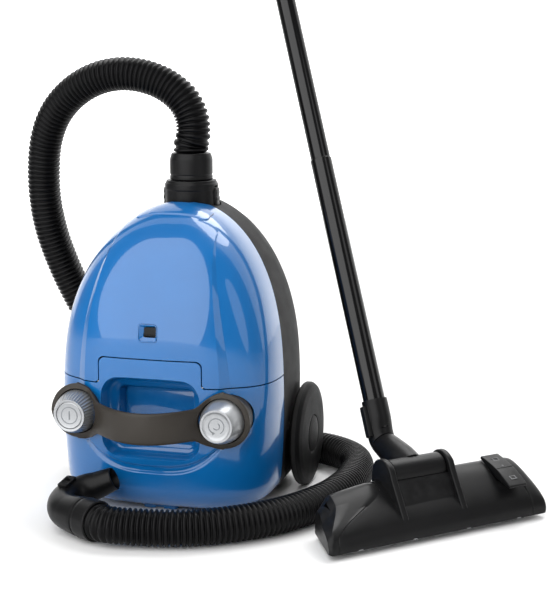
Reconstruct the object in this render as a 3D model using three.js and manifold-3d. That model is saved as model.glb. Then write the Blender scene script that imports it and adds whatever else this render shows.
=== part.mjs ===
// Canister vacuum cleaner, parked upright on its rear end, with its hose, bent grip, two-piece wand and
// floor tool. Millimetres, +Z up. The origin is on the floor under the canister, in its middle plane. -Y is
// the side that faces up when the cleaner lies on its wheels, so the blue covers face -Y and the black base +Y.
import * as THREE from 'three';
import { mergeVertices } from 'three/addons/utils/BufferGeometryUtils.js';
import Module from 'manifold-3d';

// ---- Driving dimensions ----
const GAP = 0.4;              // clearance between touching pieces
const WALL = 3;               // thickness of the moulded shells

const BODY = {
  bottom: 4, top: 366.5,      // height range of the shell
  peak: 368,                  // height at which the arch outline closes
  halfWidth: 138, widest: 120,
  front: -98, noseFront: 28,  // depth of the covers at the middle and at the nose
  frontBend: 200,             // height at which the covers start to bend back to the nose
  back: 148, noseBack: 108, backBend: 180,
  corner: 30,                 // rounding of the bottom edge
};
const PART_LINE = { y: 5, rise: 39, from: 150 };        // where the covers meet the base
const SEAM = { z: 159.5, tabZ: 192, tabX: 63, gap: 1.2, radius: 8 };
const LID_HINGE = { y: -92.6, z: 162, pinR: 0.9, holeR: 1.2 };
const POCKET = { x: 60, low: 76, high: 163, back: -56, radius: 18 };
const KNOB = {
  x: 92, z: 124.5, eyeY: -99, faceY: -123,
  eyeR: 33.5, holeR: 27.6, coverHoleR: 29.4, baseR: 26.5, faceR: 19.5,
};
const HANDLE = { bow: 40.5, thick: 7, halfHeight: 19 };
const WHEEL = { r: 66, y: 86, z: 66.5, inner: 138.6, outer: 155.5, axleR: 4.5 };
const INLET = {
  y: 64, collarR: 33.6, roomR: 37.6, cuffR: 27, boreR: 17,
  seat: 352, collarTop: 391, cuffTop: 425,
};
const CASTER = { z: 280, trail: 13, axleY: 152 };
const HOSE = { r: 21, boreR: 17.5, sides: 8, steps: 54 };
const GRIP = {
  start: [-25, -199, 24.2], heading: 155, straight: 48,
  bend: 31, finalHeading: 8, end: 22, rise: 26,
};
const TOOL = { x: 324.9, y: -53.6, yaw: 46, length: 308, depth: 78 };
const PEDAL = { x: 110, y: -7, z: 55.5, slope: 27, tilt: 5, width: 26, length: 62 };
const NECK = {
  x: -7, y: 14, z: 69, drumR: 17, drumLength: 74,
  elbowLean: 73, elbowLength: 65, swivelLean: 57, wandLean: 24,
};
const WAND = {
  lowerR: 13.4, lowerBore: 12.45, lowerLength: 344,
  upperR: 12.3, upperBore: 11.3, upperLength: 480,
  sleeveR: 15.6, sleeveLength: 52, inSleeve: 36, overlap: 40,
};

const wasm = await Module();
wasm.setup();

// ---- Materials ----
function material(color, roughness, metalness = 0) {
  return new THREE.MeshStandardMaterial({ color, roughness, metalness });
}
const BLUE = material(0x2f74c4, 0.12);
const BLACK = material(0x1d1d1e, 0.45);
const GLOSS_BLACK = material(0x0c0d0e, 0.12);
const BROWN = material(0x4a443d, 0.4);
const SILVER = material(0xc9cbcc, 0.25, 0.8);
const HOSE_BLACK = material(0x1a1a1a, 0.4);
const RUBBER = material(0x202020, 0.8);
const STEEL = material(0xa8abae, 0.3, 1);
const WHITE = material(0xe6e4de, 0.9);
const GREY = material(0x8b8d90, 0.6);
const COPPER = material(0xb0713f, 0.4, 1);
const SMOKE = material(0x101214, 0.1);

// ---- Solids ----
function toSolid(geometry) {
  const flat = (geometry.index ? geometry.toNonIndexed() : geometry).clone();
  const bare = new THREE.BufferGeometry().setAttribute('position', flat.getAttribute('position'));
  const merged = mergeVertices(bare, 1e-4);
  const triVerts = new Uint32Array(merged.index.array);
  const build = () => new wasm.Manifold(new wasm.Mesh(
    { numProp: 3, vertProperties: new Float32Array(merged.attributes.position.array), triVerts }));
  const made = build();
  if (made.volume() >= 0) return made;
  for (let i = 0; i < triVerts.length; i += 3) {
    [triVerts[i + 1], triVerts[i + 2]] = [triVerts[i + 2], triVerts[i + 1]];
  }
  return build();
}

function toGeometry(solid) {
  const mesh = solid.getMesh();
  const geometry = new THREE.BufferGeometry();
  geometry.setAttribute('position', new THREE.BufferAttribute(new Float32Array(mesh.vertProperties), 3));
  geometry.setIndex(new THREE.BufferAttribute(new Uint32Array(mesh.triVerts), 1));
  geometry.computeVertexNormals();
  return geometry;
}

const box = (x0, x1, y0, y1, z0, z1) => toSolid(new THREE.BoxGeometry(x1 - x0, y1 - y0, z1 - z0)
  .translate((x0 + x1) / 2, (y0 + y1) / 2, (z0 + z1) / 2));

// A cylinder from height 0 to h along +Z, to be turned and moved into place.
const cylinder = (r, h, sides = 20) => toSolid(new THREE.CylinderGeometry(r, r, h, sides)
  .rotateX(Math.PI / 2).translate(0, 0, h / 2));

// A solid of revolution about Z from [radius, height] pairs that start and end on the axis, or close up.
const revolve = (profile, sides = 24) => toSolid(new THREE.LatheGeometry(
  profile.map(([r, h]) => new THREE.Vector2(r, h)), sides).rotateX(Math.PI / 2));

// A pipe about Z between two heights.
const pipe = (outer, inner, z0, z1, sides = 20) => revolve(
  [[inner, z0], [outer, z0], [outer, z1], [inner, z1], [inner, z0]], sides);

function shapeOf(points) {
  return new THREE.Shape(points.map(([a, b]) => new THREE.Vector2(a, b)));
}

function roundedRect(x0, x1, z0, z1, r, curve = 3) {
  const points = [];
  const turns = [[x1 - r, z0 + r, -90], [x1 - r, z1 - r, 0], [x0 + r, z1 - r, 90], [x0 + r, z0 + r, 180]];
  for (const [cx, cz, start] of turns) {
    for (let i = 0; i <= curve; i++) {
      const a = THREE.MathUtils.degToRad(start + 90 * i / curve);
      points.push([cx + r * Math.cos(a), cz + r * Math.sin(a)]);
    }
  }
  return points;
}

const extrude = (points, depth) => new THREE.ExtrudeGeometry(shapeOf(points), { depth, bevelEnabled: false });
const ALONG_X = new THREE.Matrix4().set(0, 0, 1, 0, 1, 0, 0, 0, 0, 1, 0, 0, 0, 0, 0, 1);
const ALONG_Y = new THREE.Matrix4().set(1, 0, 0, 0, 0, 0, -1, 0, 0, 1, 0, 0, 0, 0, 0, 1);
function extrudeX(points, x0, x1) {
  return toSolid(extrude(points, x1 - x0).applyMatrix4(ALONG_X).translate(x0, 0, 0));
}
function extrudeY(points, y0, y1) {
  return toSolid(extrude(points, y1 - y0).applyMatrix4(ALONG_Y).translate(0, y1, 0));
}

// A closed solid through rings of points, all with the same number of points.
function loft(rings) {
  const n = rings[0].length;
  const positions = [];
  const put = (...corners) => corners.forEach((p) => positions.push(p.x, p.y, p.z));
  for (let i = 0; i + 1 < rings.length; i++) {
    for (let k = 0; k < n; k++) {
      const [a, b] = [rings[i][k], rings[i][(k + 1) % n]];
      const [c, d] = [rings[i + 1][(k + 1) % n], rings[i + 1][k]];
      put(a, b, c, a, c, d);
    }
  }
  for (const [ring, turn] of [[rings[0], true], [rings[rings.length - 1], false]]) {
    const middle = ring.reduce((sum, p) => sum.add(p), new THREE.Vector3()).divideScalar(n);
    for (let k = 0; k < n; k++) {
      const [a, b] = turn ? [ring[(k + 1) % n], ring[k]] : [ring[k], ring[(k + 1) % n]];
      put(middle, a, b);
    }
  }
  const geometry = new THREE.BufferGeometry();
  geometry.setAttribute('position', new THREE.Float32BufferAttribute(positions, 3));
  return toSolid(geometry);
}

// A tube along points with a radius at each, turned as little as the line allows.
function sweep(points, radii, sides = 16) {
  let side = new THREE.Vector3(0, 0, 1);
  const rings = points.map((p, i) => {
    const ahead = points[Math.min(i + 1, points.length - 1)];
    const behind = points[Math.max(i - 1, 0)];
    const along = ahead.clone().sub(behind).normalize();
    side = side.clone().sub(along.clone().multiplyScalar(side.dot(along))).normalize();
    const other = along.clone().cross(side);
    return Array.from({ length: sides }, (_, k) => {
      const a = 2 * Math.PI * k / sides;
      return p.clone().addScaledVector(side, radii[i] * Math.cos(a))
        .addScaledVector(other, radii[i] * Math.sin(a));
    });
  });
  return loft(rings);
}

// ---- Placing ----
const root = new THREE.Group();

function add(name, solid, look, group = root) {
  const mesh = new THREE.Mesh(toGeometry(solid), look);
  mesh.name = name;
  group.add(mesh);
  return mesh;
}

const moved = (solid, x, y, z) => solid.translate([x, y, z]);
const facingX = (solid) => solid.rotate([0, 90, 0]);   // +Z becomes +X
const facingY = (solid) => solid.rotate([-90, 0, 0]);  // +Z becomes +Y
const mirrored = (solid) => solid.mirror([1, 0, 0]);

// ---- The body's outer form ----
const partLineY = (z) => PART_LINE.y
  + PART_LINE.rise * Math.max(0, (z - PART_LINE.from) / (BODY.top - PART_LINE.from)) ** 1.5;

function edgeRound(z, radius) {
  const up = z - BODY.bottom;
  return up >= radius ? 0 : radius - Math.sqrt(radius ** 2 - (radius - up) ** 2);
}

function halfWidth(z) {
  if (z > BODY.widest) {
    const r = (z - BODY.widest) / (BODY.peak - BODY.widest);
    return BODY.halfWidth * (1 - r ** 2.6) ** 0.526;
  }
  const r = (BODY.widest - z) / BODY.widest;
  return BODY.halfWidth - 7 * r ** 2 - edgeRound(z, BODY.corner);
}

function frontY(z) {
  if (z > BODY.frontBend) {
    const r = (z - BODY.frontBend) / (BODY.peak - BODY.frontBend);
    return BODY.noseFront + (BODY.front - BODY.noseFront) * (1 - r ** 2.2) ** 0.588;
  }
  const r = Math.max(0, (BODY.widest - z) / BODY.widest);
  return BODY.front + 9 * r ** 2 + edgeRound(z, BODY.corner);
}

function backY(z) {
  const r = Math.max(0, (z - BODY.backBend) / (BODY.top - BODY.backBend));
  return BODY.back - (BODY.back - BODY.noseBack) * r ** 1.7 - edgeRound(z, 12);
}

function bodyRing(z, around = 32) {
  const [w, middle] = [halfWidth(z), partLineY(z)];
  return Array.from({ length: around }, (_, k) => {
    const a = 2 * Math.PI * k / around;
    const [c, s] = [Math.cos(a), Math.sin(a)];
    const depth = s < 0 ? middle - frontY(z) : backY(z) - middle;
    const power = 2 / (s < 0 ? 3 : 4.5);
    return new THREE.Vector3(w * Math.sign(c) * Math.abs(c) ** power,
      middle + depth * Math.sign(s) * Math.abs(s) ** power, z);
  });
}

function bodyLevels(count) {
  const levels = [0, 3, 10, 22].map((up) => BODY.bottom + up);
  for (let i = 1; i <= count; i++) {
    const t = i / count;
    levels.push(BODY.bottom + 30 + (BODY.top - BODY.bottom - 30) * Math.sin(t * Math.PI / 2) ** 1.05);
  }
  return levels;
}

const bodySolid = loft(bodyLevels(9).map((z) => bodyRing(z)));

// The same form pulled in by the wall, about the body's middle.
function shrunk(by) {
  const [midY, midZ] = [(BODY.front + BODY.back) / 2, (BODY.bottom + BODY.top) / 2];
  const keep = (size) => (size - 2 * by) / size;
  return loft(bodyLevels(6).map((z) => bodyRing(z, 24))).translate([0, -midY, -midZ])
    .scale([keep(2 * BODY.halfWidth), keep(BODY.back - BODY.front), keep(BODY.top - BODY.bottom)])
    .translate([0, midY, midZ]);
}
const cavity = shrunk(WALL + 1);

// Everything in front of the parting surface, or behind it, with half the clearance taken off each side.
function sideOfPartLine(front, off) {
  const points = [];
  for (const z of [-20, 150, 190, 230, 270, 310, 340, 366, 420]) {
    points.push([partLineY(Math.min(z, BODY.top)) + off, z]);
  }
  const far = front ? -400 : 400;
  return extrudeX([...points, [far, points[points.length - 1][1]], [far, points[0][1]]], -250, 250);
}

// Everything above the lid's seam, which steps up round the tab above the grip pocket.
function aboveSeam(off) {
  const { z, tabZ, tabX, radius } = SEAM;
  const [low, high, x] = [z + off, tabZ + off * 1.6, tabX + off];
  const arch = [];
  for (let i = 0; i <= 3; i++) {
    const a = Math.PI / 2 * i / 3;
    arch.push([x - radius + radius * Math.cos(a), high - radius + radius * Math.sin(a)]);
  }
  const left = arch.map(([px, pz]) => [-px, pz]);
  const step = [[-x, low], ...left, ...arch.reverse(), [x, low]];
  return extrudeY([[-250, low], ...step, [250, low], [250, 420], [-250, 420]], -300, 300);
}

// ---- Canister shells ----
const knobAt = (solid, side) => moved(facingY(solid), side * KNOB.x, 0, KNOB.z);
// A round hole along Y through the covers at one eye of the handle.
const knobHole = (r, y0, y1, side) => moved(knobAt(cylinder(r, y1 - y0), side), 0, y0, 0);
const inletBore = (r, z0, z1) => moved(cylinder(r, z1 - z0), 0, INLET.y, z0);

function makeShells() {
  const shell = bodySolid.subtract(cavity);
  const covers = shell.intersect(sideOfPartLine(true, -GAP / 2));
  const collarRoom = inletBore(INLET.roomR, 330, 420);
  const windowHole = box(-9.5, 9.5, -110, -80, 217.5, 236.5);
  const latchHole = box(-23.5, 23.5, -13.5, 17.5, 320, 390);
  const hingeHole = moved(facingX(cylinder(LID_HINGE.holeR, 8, 10)), 60, LID_HINGE.y, LID_HINGE.z);
  const lid = covers.intersect(aboveSeam(SEAM.gap / 2)).subtract(collarRoom).subtract(windowHole)
    .subtract(latchHole).subtract(hingeHole).subtract(mirrored(hingeHole));

  const linerShape = roundedRect(-POCKET.x - WALL, POCKET.x + WALL, POCKET.low - WALL, POCKET.high + WALL,
    POCKET.radius + WALL);
  const pocketOuter = extrudeY(linerShape, -160, POCKET.back + WALL).intersect(bodySolid);
  const pocketHole = extrudeY(
    roundedRect(-POCKET.x, POCKET.x, POCKET.low, POCKET.high, POCKET.radius), -200, POCKET.back);
  let cover = covers.subtract(aboveSeam(-SEAM.gap / 2)).add(pocketOuter).subtract(pocketHole);
  cover = cover.add(box(-22, 22, -66, -38, 0.6, 8)).subtract(box(-8, 8, -80, -50, 2.5, 5));
  for (const side of [-1, 1]) cover = cover.subtract(knobHole(KNOB.coverHoleR, -110, -60, side));
  cover = cover.subtract(hingeHole).subtract(mirrored(hingeHole));

  let base = shell.intersect(sideOfPartLine(false, GAP / 2));
  for (const side of [-1, 1]) {
    const well = cylinder(WHEEL.r + 3, 30, 28);
    const floor = cylinder(WHEEL.r + 6, 3, 28);
    const place = (solid, x) => {
      const turned = moved(facingX(solid), x, WHEEL.y, WHEEL.z);
      return side > 0 ? turned : mirrored(turned);
    };
    const wheelRoom = place(well, 131);
    const wellWall = place(floor, 128).intersect(bodySolid).intersect(sideOfPartLine(false, GAP / 2));
    base = base.subtract(wheelRoom).add(wellWall).add(place(cylinder(9, 18, 16), 113));
    base = base.subtract(place(cylinder(WHEEL.axleR + 0.3, 30, 14), 116));
  }
  const bumper = box(-70, 70, PART_LINE.y + 1, 124, 0, 9)
    .add(box(-70, 70, -30, PART_LINE.y + 2, 0, BODY.bottom - GAP));
  base = base.add(bumper).subtract(inletBore(INLET.roomR, 346, 420)).subtract(inletBore(24.3, 300, 420));
  base = base.subtract(box(-46, 46, 135, 155, 46, 114));
  base = base.subtract(moved(facingY(cylinder(24, 40, 32)), 0, 112, CASTER.z));
  return { lid, cover, base };
}

const { lid, cover, base } = makeShells();
add('base_shell', base, BLACK);
add('rear_cover', cover, BLUE);
add('dust_lid', lid, BLUE);

// ---- Lid pieces ----
add('indicator_lens', box(-6.2, 6.2, -92.5, -89.4, 220.9, 233.1), SMOKE);
for (const [name, side] of [['left', -1], ['right', 1]]) {
  const pin = moved(facingX(cylinder(LID_HINGE.pinR, 6, 10)), 60.6, LID_HINGE.y, LID_HINGE.z);
  add(`lid_hinge_pin_${name}`, side > 0 ? pin : mirrored(pin), STEEL);
}

// ---- Carrying handle: a bowed band between two eyes ----
function handleBand() {
  const reach = KNOB.x + KNOB.eyeR;
  const columns = [];
  const count = 26;
  for (let i = 0; i <= count; i++) {
    const x = -reach * Math.cos(Math.PI * i / count);
    const fromEye = Math.abs(Math.abs(x) - KNOB.x);
    const eye = fromEye < KNOB.eyeR ? Math.sqrt(KNOB.eyeR ** 2 - fromEye ** 2) : 0;
    const share = Math.min(1, Math.abs(x) / KNOB.x);
    const band = Math.abs(x) < KNOB.x ? HANDLE.halfHeight + 8 * share ** 7 : 0;
    const half = Math.max(eye, band, 1.5);
    const lift = -6.5 * (1 - share ** 2);
    const y = KNOB.eyeY - HANDLE.bow * Math.max(0, 1 - (x / (KNOB.x - 14)) ** 2) ** 1.15;
    const [back, top, bottom] = [y + HANDLE.thick, KNOB.z + lift + half, KNOB.z + lift - half];
    const corners = [[y, top], [y, bottom], [back, bottom], [back, top]];
    columns.push(corners.map(([py, pz]) => new THREE.Vector3(x, py, pz)));
  }
  return loft(columns);
}
let handle = handleBand();
for (const side of [-1, 1]) {
  handle = handle.add(knobHole(KNOB.eyeR - 4.6, KNOB.eyeY + 2, -71, side));
  handle = handle.subtract(knobHole(KNOB.holeR, -130, KNOB.eyeY + 18, side));
  handle = handle.subtract(knobHole(9, -90, -60, side));
}
add('carry_handle', handle, BROWN);

// ---- Power knob with its push button, and the rewind button ----
const knobDepth = (y) => y - KNOB.faceY;
function domeProfile(depth, inner) {
  const points = [];
  for (let i = 0; i <= 3; i++) {
    const t = i / 3;
    points.push([KNOB.faceR + (KNOB.baseR - KNOB.faceR) * Math.sin(t * Math.PI / 2), t * depth]);
  }
  return [[inner, 0], ...points, [inner, depth]];
}
const onKnob = (solid, side) => moved(knobAt(solid, side), 0, KNOB.faceY, 0);
const domeDepth = knobDepth(KNOB.eyeY) + 6;
const knobRing = revolve([...domeProfile(domeDepth, 18.4), [18.4, 0]], 24);
add('power_knob', onKnob(knobRing, -1), SILVER);
add('power_button', onKnob(cylinder(15.2, 20, 24), -1).add(onKnob(cylinder(5, 50, 12), -1)), SILVER);
const rewindDome = revolve([[0, 0], ...domeProfile(domeDepth, 0).slice(1, -1), [0, domeDepth]], 24);
add('rewind_button', onKnob(rewindDome, 1).add(onKnob(cylinder(5, 48, 12), 1)), SILVER);
add('power_switch', box(-KNOB.x - 16, -KNOB.x + 16, -60, -38, KNOB.z - 14, KNOB.z + 14)
  .subtract(knobHole(6, -80, -45, -1)), GREY);
add('rewind_lever', box(KNOB.x - 12, KNOB.x + 12, -62, -56, KNOB.z - 12, KNOB.z + 12), WHITE);

// ---- Wheels ----
function wheelSolid() {
  const { r, inner, outer } = WHEEL;
  const w = outer - inner;
  return revolve([[5, 0], [r - 3, 0], [r, 3], [r, w - 8], [r - 4, w - 4], [r - 14, w - 1.5], [24, w - 1],
    [24, w - 3.5], [5, w - 3.5], [5, 0]], 32);
}
for (const [name, side] of [['left', -1], ['right', 1]]) {
  const place = (solid, x) => {
    const turned = moved(facingX(solid), x, WHEEL.y, WHEEL.z);
    return side > 0 ? turned : mirrored(turned);
  };
  add(`wheel_${name}`, place(wheelSolid(), WHEEL.inner), BLACK);
  const cap = revolve([[0, 0], [23.4, 0], [22.5, 2.2], [12, 3.4], [0, 3.6]], 20);
  add(`hub_cap_${name}`, place(cap, WHEEL.outer - 3.1), BLACK);
  add(`axle_${name}`, place(cylinder(WHEEL.axleR, 31, 14), 119), STEEL);
}

// ---- Front caster, on the base near the nose ----
const casterAxle = CASTER.z - CASTER.trail;
const casterCup = [[8, 0], [23.4, 0], [23.4, 13], [18.5, 13], [18.5, 3], [8, 3], [8, 0]];
add('caster_housing', moved(facingY(revolve(casterCup, 24)), 0, 123.5, CASTER.z), BLACK);
let fork = moved(facingY(cylinder(17.6, 12.3, 20)), 0, 127.7, CASTER.z)
  .add(moved(facingY(cylinder(7.4, 12, 12)), 0, 120.5, CASTER.z));
for (const side of [-1, 1]) {
  fork = fork.add(box(side * 12 - 2, side * 12 + 2, 139.4, 156.5, casterAxle - 5, CASTER.z + 8));
}
const atCasterAxle = (solid, x) => moved(facingX(solid), x, CASTER.axleY, casterAxle);
add('caster_fork', fork.subtract(atCasterAxle(cylinder(2.5, 60, 10), -30)), BLACK);
add('caster_wheel', atCasterAxle(pipe(10.5, 2.7, -9, 9, 20), 0), RUBBER);
add('caster_pin', atCasterAxle(cylinder(2.1, 28, 10), -14), STEEL);

// ---- Inlet, hose connector and its latches ----
const atInlet = (solid) => moved(solid, 0, INLET.y, 0);
add('inlet_socket', atInlet(pipe(24, 20.4, 322, 349).add(pipe(36.2, 20.4, 346.6, 349.6, 20))), BLACK);
add('inlet_seal', atInlet(pipe(20, 17.6, 328, 333)), RUBBER);
let collar = pipe(INLET.collarR, INLET.boreR, INLET.seat, INLET.collarTop, 24)
  .add(pipe(19.8, INLET.boreR, 334, INLET.seat + 1, 24));
for (const side of [-1, 1]) collar = collar.subtract(box(side * 32 - 5, side * 32 + 5, -6.5, 6.5, 354, 384));
add('hose_collar', atInlet(collar), BLACK);
for (const [name, side] of [['left', -1], ['right', 1]]) {
  const button = box(29.4, 35.8, -6, 6, 356, 382);
  add(`collar_latch_${name}`, atInlet(side > 0 ? button : mirrored(button)), BLACK);
}
add('hose_cuff', atInlet(pipe(INLET.cuffR, 18, INLET.collarTop + GAP, INLET.cuffTop, 24)), BLACK);
const latchFoot = box(-9, 9, 4.5, 7.5, 340, 363.5);
add('lid_latch', bodySolid.translate([0, -1, 1.2]).subtract(bodySolid.translate([0, 2, -2.4]))
  .intersect(box(-23, 23, -13, 15.8, 330, 380)).add(latchFoot), BLUE);

// ---- Hose: up from the cuff, over to the left, down behind the body, and round its right side ----
const hosePoints = [
  [0, 64, 425.6], [0, 64, 434], [3, 64, 447], [1, 65, 469], [-11, 66, 491], [-35, 67, 509], [-66, 68, 519.5],
  [-99, 69, 521.5], [-132, 71, 514], [-163, 74, 497], [-189, 78, 471], [-206, 84, 438], [-214, 90, 400],
  [-217, 98, 358], [-215, 110, 315], [-207, 124, 272], [-194, 138, 229], [-176, 151, 186], [-153, 161, 142],
  [-124, 170, 100], [-88, 176, 62], [-44, 180, 35], [6, 183, 22.5], [58, 186, 21.4], [110, 184, 21.4],
  [158, 170, 21.4], [195, 138, 21.4], [211, 94, 21.4], [214, 52, 21.4], [212, 12, 21.4], [203, -35, 21.4],
  [184, -82, 21.4], [155, -126, 21.4], [116, -162, 21.4], [72, -187, 21.6], [28, -199, 22.4],
].map(([x, y, z]) => new THREE.Vector3(x, y, z));
const gripStart = new THREE.Vector3(...GRIP.start);
function headingVector(degrees) {
  const a = THREE.MathUtils.degToRad(degrees);
  return new THREE.Vector3(Math.cos(a), Math.sin(a), 0);
}
const intoGrip = headingVector(GRIP.heading);
const hoseEnd = gripStart.clone().addScaledVector(intoGrip, 6);
const hoseNearEnd = gripStart.clone().addScaledVector(intoGrip, -14);
const hoseCurve = new THREE.CatmullRomCurve3([...hosePoints, hoseNearEnd, hoseEnd], false, 'centripetal');
const circle = (r, sides) => Array.from({ length: sides }, (_, k) => {
  const a = 2 * Math.PI * k / sides;
  return [r * Math.cos(a), r * Math.sin(a)];
});
const hoseSection = shapeOf(circle(HOSE.r, HOSE.sides));
const hoseBore = circle(HOSE.boreR, 6).reverse().map(([a, b]) => new THREE.Vector2(a, b));
hoseSection.holes.push(new THREE.Path(hoseBore));
const hoseTube = new THREE.ExtrudeGeometry(hoseSection, { steps: HOSE.steps, extrudePath: hoseCurve });
add('hose', toSolid(hoseTube), HOSE_BLACK);

// ---- Bent grip on the hose's end ----
function gripLine() {
  const bendStart = gripStart.clone().addScaledVector(intoGrip, GRIP.straight);
  const line = [gripStart.clone(), gripStart.clone().addScaledVector(intoGrip, 20), bendStart];
  const right = headingVector(GRIP.heading - 90);
  const centre = bendStart.clone().addScaledVector(right, GRIP.bend);
  const turn = GRIP.heading - GRIP.finalHeading;
  for (let i = 1; i <= 8; i++) {
    const heading = GRIP.heading - turn * i / 8;
    line.push(centre.clone().addScaledVector(headingVector(heading - 90), -GRIP.bend)
      .setZ(GRIP.start[2] + GRIP.rise * 0.62 * (i / 8) ** 1.4));
  }
  const last = line[line.length - 1];
  const end = headingVector(GRIP.finalHeading);
  for (const share of [0.35, 0.7, 1]) {
    line.push(last.clone().addScaledVector(end, GRIP.end * share).setZ(last.z + GRIP.rise * 0.38 * share));
  }
  return line;
}
const gripPoints = gripLine();
const gripRadii = [24, 24, 22.5, 20.5, 19.3, 18.7, 18.3, 18, 17.6, 17.2, 16.4, 15.2, 14.4, 13.8];
const gripOuter = sweep(gripPoints, gripRadii, 16);
const pastEnd = gripPoints[13].clone().addScaledVector(headingVector(GRIP.finalHeading), 4);
const boreLine = [pastEnd, ...gripPoints.slice(2, -1).reverse()];
const bore = sweep(boreLine, boreLine.map((_, i) => (i < 2 ? 12.5 : 9.2)), 12);
const socketEnds = [-5, 34].map((reach) => gripStart.clone().addScaledVector(intoGrip, reach));
const socket = sweep(socketEnds, [22, 22], 16);
add('hose_grip', gripOuter.subtract(socket).subtract(bore), BLACK);

// ---- Suction slider on the grip ----
const sliderSeat = gripPoints[6];
const sliderUp = gripPoints[7].clone().sub(gripPoints[5]).normalize();
const upright = new THREE.Vector3(0, 0, 1);
const sliderFrame = new THREE.Matrix4().makeBasis(sliderUp, upright.clone().cross(sliderUp), upright)
  .setPosition(sliderSeat.x, sliderSeat.y, sliderSeat.z + 19.3);
const sliderSolid = toSolid(new THREE.BoxGeometry(24, 13, 3).translate(0, 0, 1.5).applyMatrix4(sliderFrame));
add('suction_slider', sliderSolid, BLACK);

// ---- Floor tool and wand, in the tool's own frame: X along the tool, Y to its back ----
const tool = new THREE.Group();
tool.position.set(TOOL.x, TOOL.y, 0);
tool.rotation.z = THREE.MathUtils.degToRad(TOOL.yaw);
root.add(tool);

const TOOL_SECTION = [[-39, 5], [-38.5, 16], [-35, 25], [-28, 33], [-10, 47], [8, 58], [20, 61.5], [31, 57],
  [38, 45], [39, 25], [39, 5]];
// [place along the tool, share of the height, how far the rear corner is drawn in]
const TOOL_RINGS = [[-154, 0.6, 26], [-147, 0.8, 24], [-125, 0.88, 14], [-60, 1, 0], [60, 1.04, 0],
  [118, 1.02, -4], [143, 0.96, -8], [154, 0.8, -12]];
const cylinderX = (r, x0, x1, y, z, sides = 24) => moved(facingX(cylinder(r, x1 - x0, sides)), x0, y, z);

function toolHousing() {
  const ringAt = ([x, share, skew]) => TOOL_SECTION.map(([y, z]) => new THREE.Vector3(
    x + skew * (y + TOOL.depth / 2) / TOOL.depth, y, 5 + (z - 5) * share));
  const outer = loft(TOOL_RINGS.map(ringAt));
  const half = TOOL.length / 2;
  const [left, right] = [NECK.x - NECK.drumLength / 2, NECK.x + NECK.drumLength / 2];
  const facet = extrudeX([[-21, 30], [-20, 40], [-7, 62], [-4, 66], [12, 66], [12, 30]], left - 1, right + 1);
  const cheek = [[-34, 22], [-33, 30], [-9, 70], [-4, 80], [4, 86], [14, 88.5], [24, 86], [31, 79], [34, 66],
    [34, 22]];
  let made = outer.add(facet).add(extrudeX(cheek, left - 8.6, left - 0.6));
  made = made.add(extrudeX(cheek, right + 0.6, right + 8.6));
  made = made.subtract(cylinderX(NECK.drumR + 0.8, left - 0.6, right + 0.6, NECK.y, NECK.z));
  made = made.subtract(box(left - 0.6, right + 0.6, 8, 60, 44, 110));
  const hollow = [[-31, -1], [-31, 16], [-26, 26], [-6, 40], [18, 48], [18, -1]];
  made = made.subtract(extrudeX(hollow, -half + 26, half - 22));
  const [acrossRoom, alongRoom] = [PEDAL.width / 2 + 1, PEDAL.length / 2 + 1.5];
  const pedalRoom = box(-acrossRoom, acrossRoom, -alongRoom, alongRoom, -7.5, 40);
  made = made.subtract(moved(pedalRoom.rotate([PEDAL.slope, 0, 0]), PEDAL.x, PEDAL.y, PEDAL.z));
  for (const x of [-112, -38, 38, 112]) made = made.subtract(box(x - 5, x + 5, -50, -30, 0, 7.2));
  for (const x of [-95, 95]) {
    made = made.subtract(box(x - 9, x + 9, 20.6, 60, -1, 17));
    made = made.subtract(cylinderX(2.1, x - 16, x + 16, 30, 8, 12));
  }
  return made;
}
add('tool_housing', toolHousing(), BLACK, tool);
const soleHalf = TOOL.length / 2 - 27;
let soleplate = box(-soleHalf, soleHalf, -30.4, 17.4, 1.2, 5);
soleplate = soleplate.subtract(box(-110, 110, -9, 4, -5, 10));
for (const y of [-24.6, 7.4]) soleplate = soleplate.subtract(box(-116, 116, y - 0.6, y + 5.8, -5, 10));
add('soleplate', soleplate, BLACK, tool);
add('brush_strip_front', box(-115, 115, -24.4, -19.6, 2.6, 9), RUBBER, tool);
add('brush_strip_rear', box(-115, 115, 7.6, 12.4, 2.6, 9), RUBBER, tool);
for (const [name, x] of [['left', -95], ['right', 95]]) {
  add(`tool_roller_${name}`, moved(facingX(pipe(8, 2.2, -8, 8, 18)), x, 30, 8), RUBBER, tool);
  add(`tool_roller_pin_${name}`, cylinderX(1.7, x - 15.5, x + 15.5, 30, 8, 12), STEEL, tool);
}
const pedalEnd = PEDAL.length / 2;
const pedalShape = [[-pedalEnd, -1], [-pedalEnd, 3], [0, 6], [pedalEnd, 3], [pedalEnd, -1], [5, -4], [-5, -4]];
const pedal = extrudeX(pedalShape, -PEDAL.width / 2, PEDAL.width / 2);
const pedalLean = [PEDAL.slope - PEDAL.tilt, 0, 0];
add('tool_pedal', moved(pedal.rotate(pedalLean), PEDAL.x, PEDAL.y, PEDAL.z), BLACK, tool);

// ---- Neck: drum, elbow and swivel sleeve, in a frame at the drum's middle ----
const neck = new THREE.Group();
neck.position.set(NECK.x, NECK.y, NECK.z);
tool.add(neck);
function leaned(degrees) {
  const a = THREE.MathUtils.degToRad(degrees);
  return new THREE.Vector3(0, Math.sin(a), Math.cos(a));
}
function alongLean(solid, degrees, from) {
  return solid.rotate([-degrees, 0, 0]).translate([from.x, from.y, from.z]);
}
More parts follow.
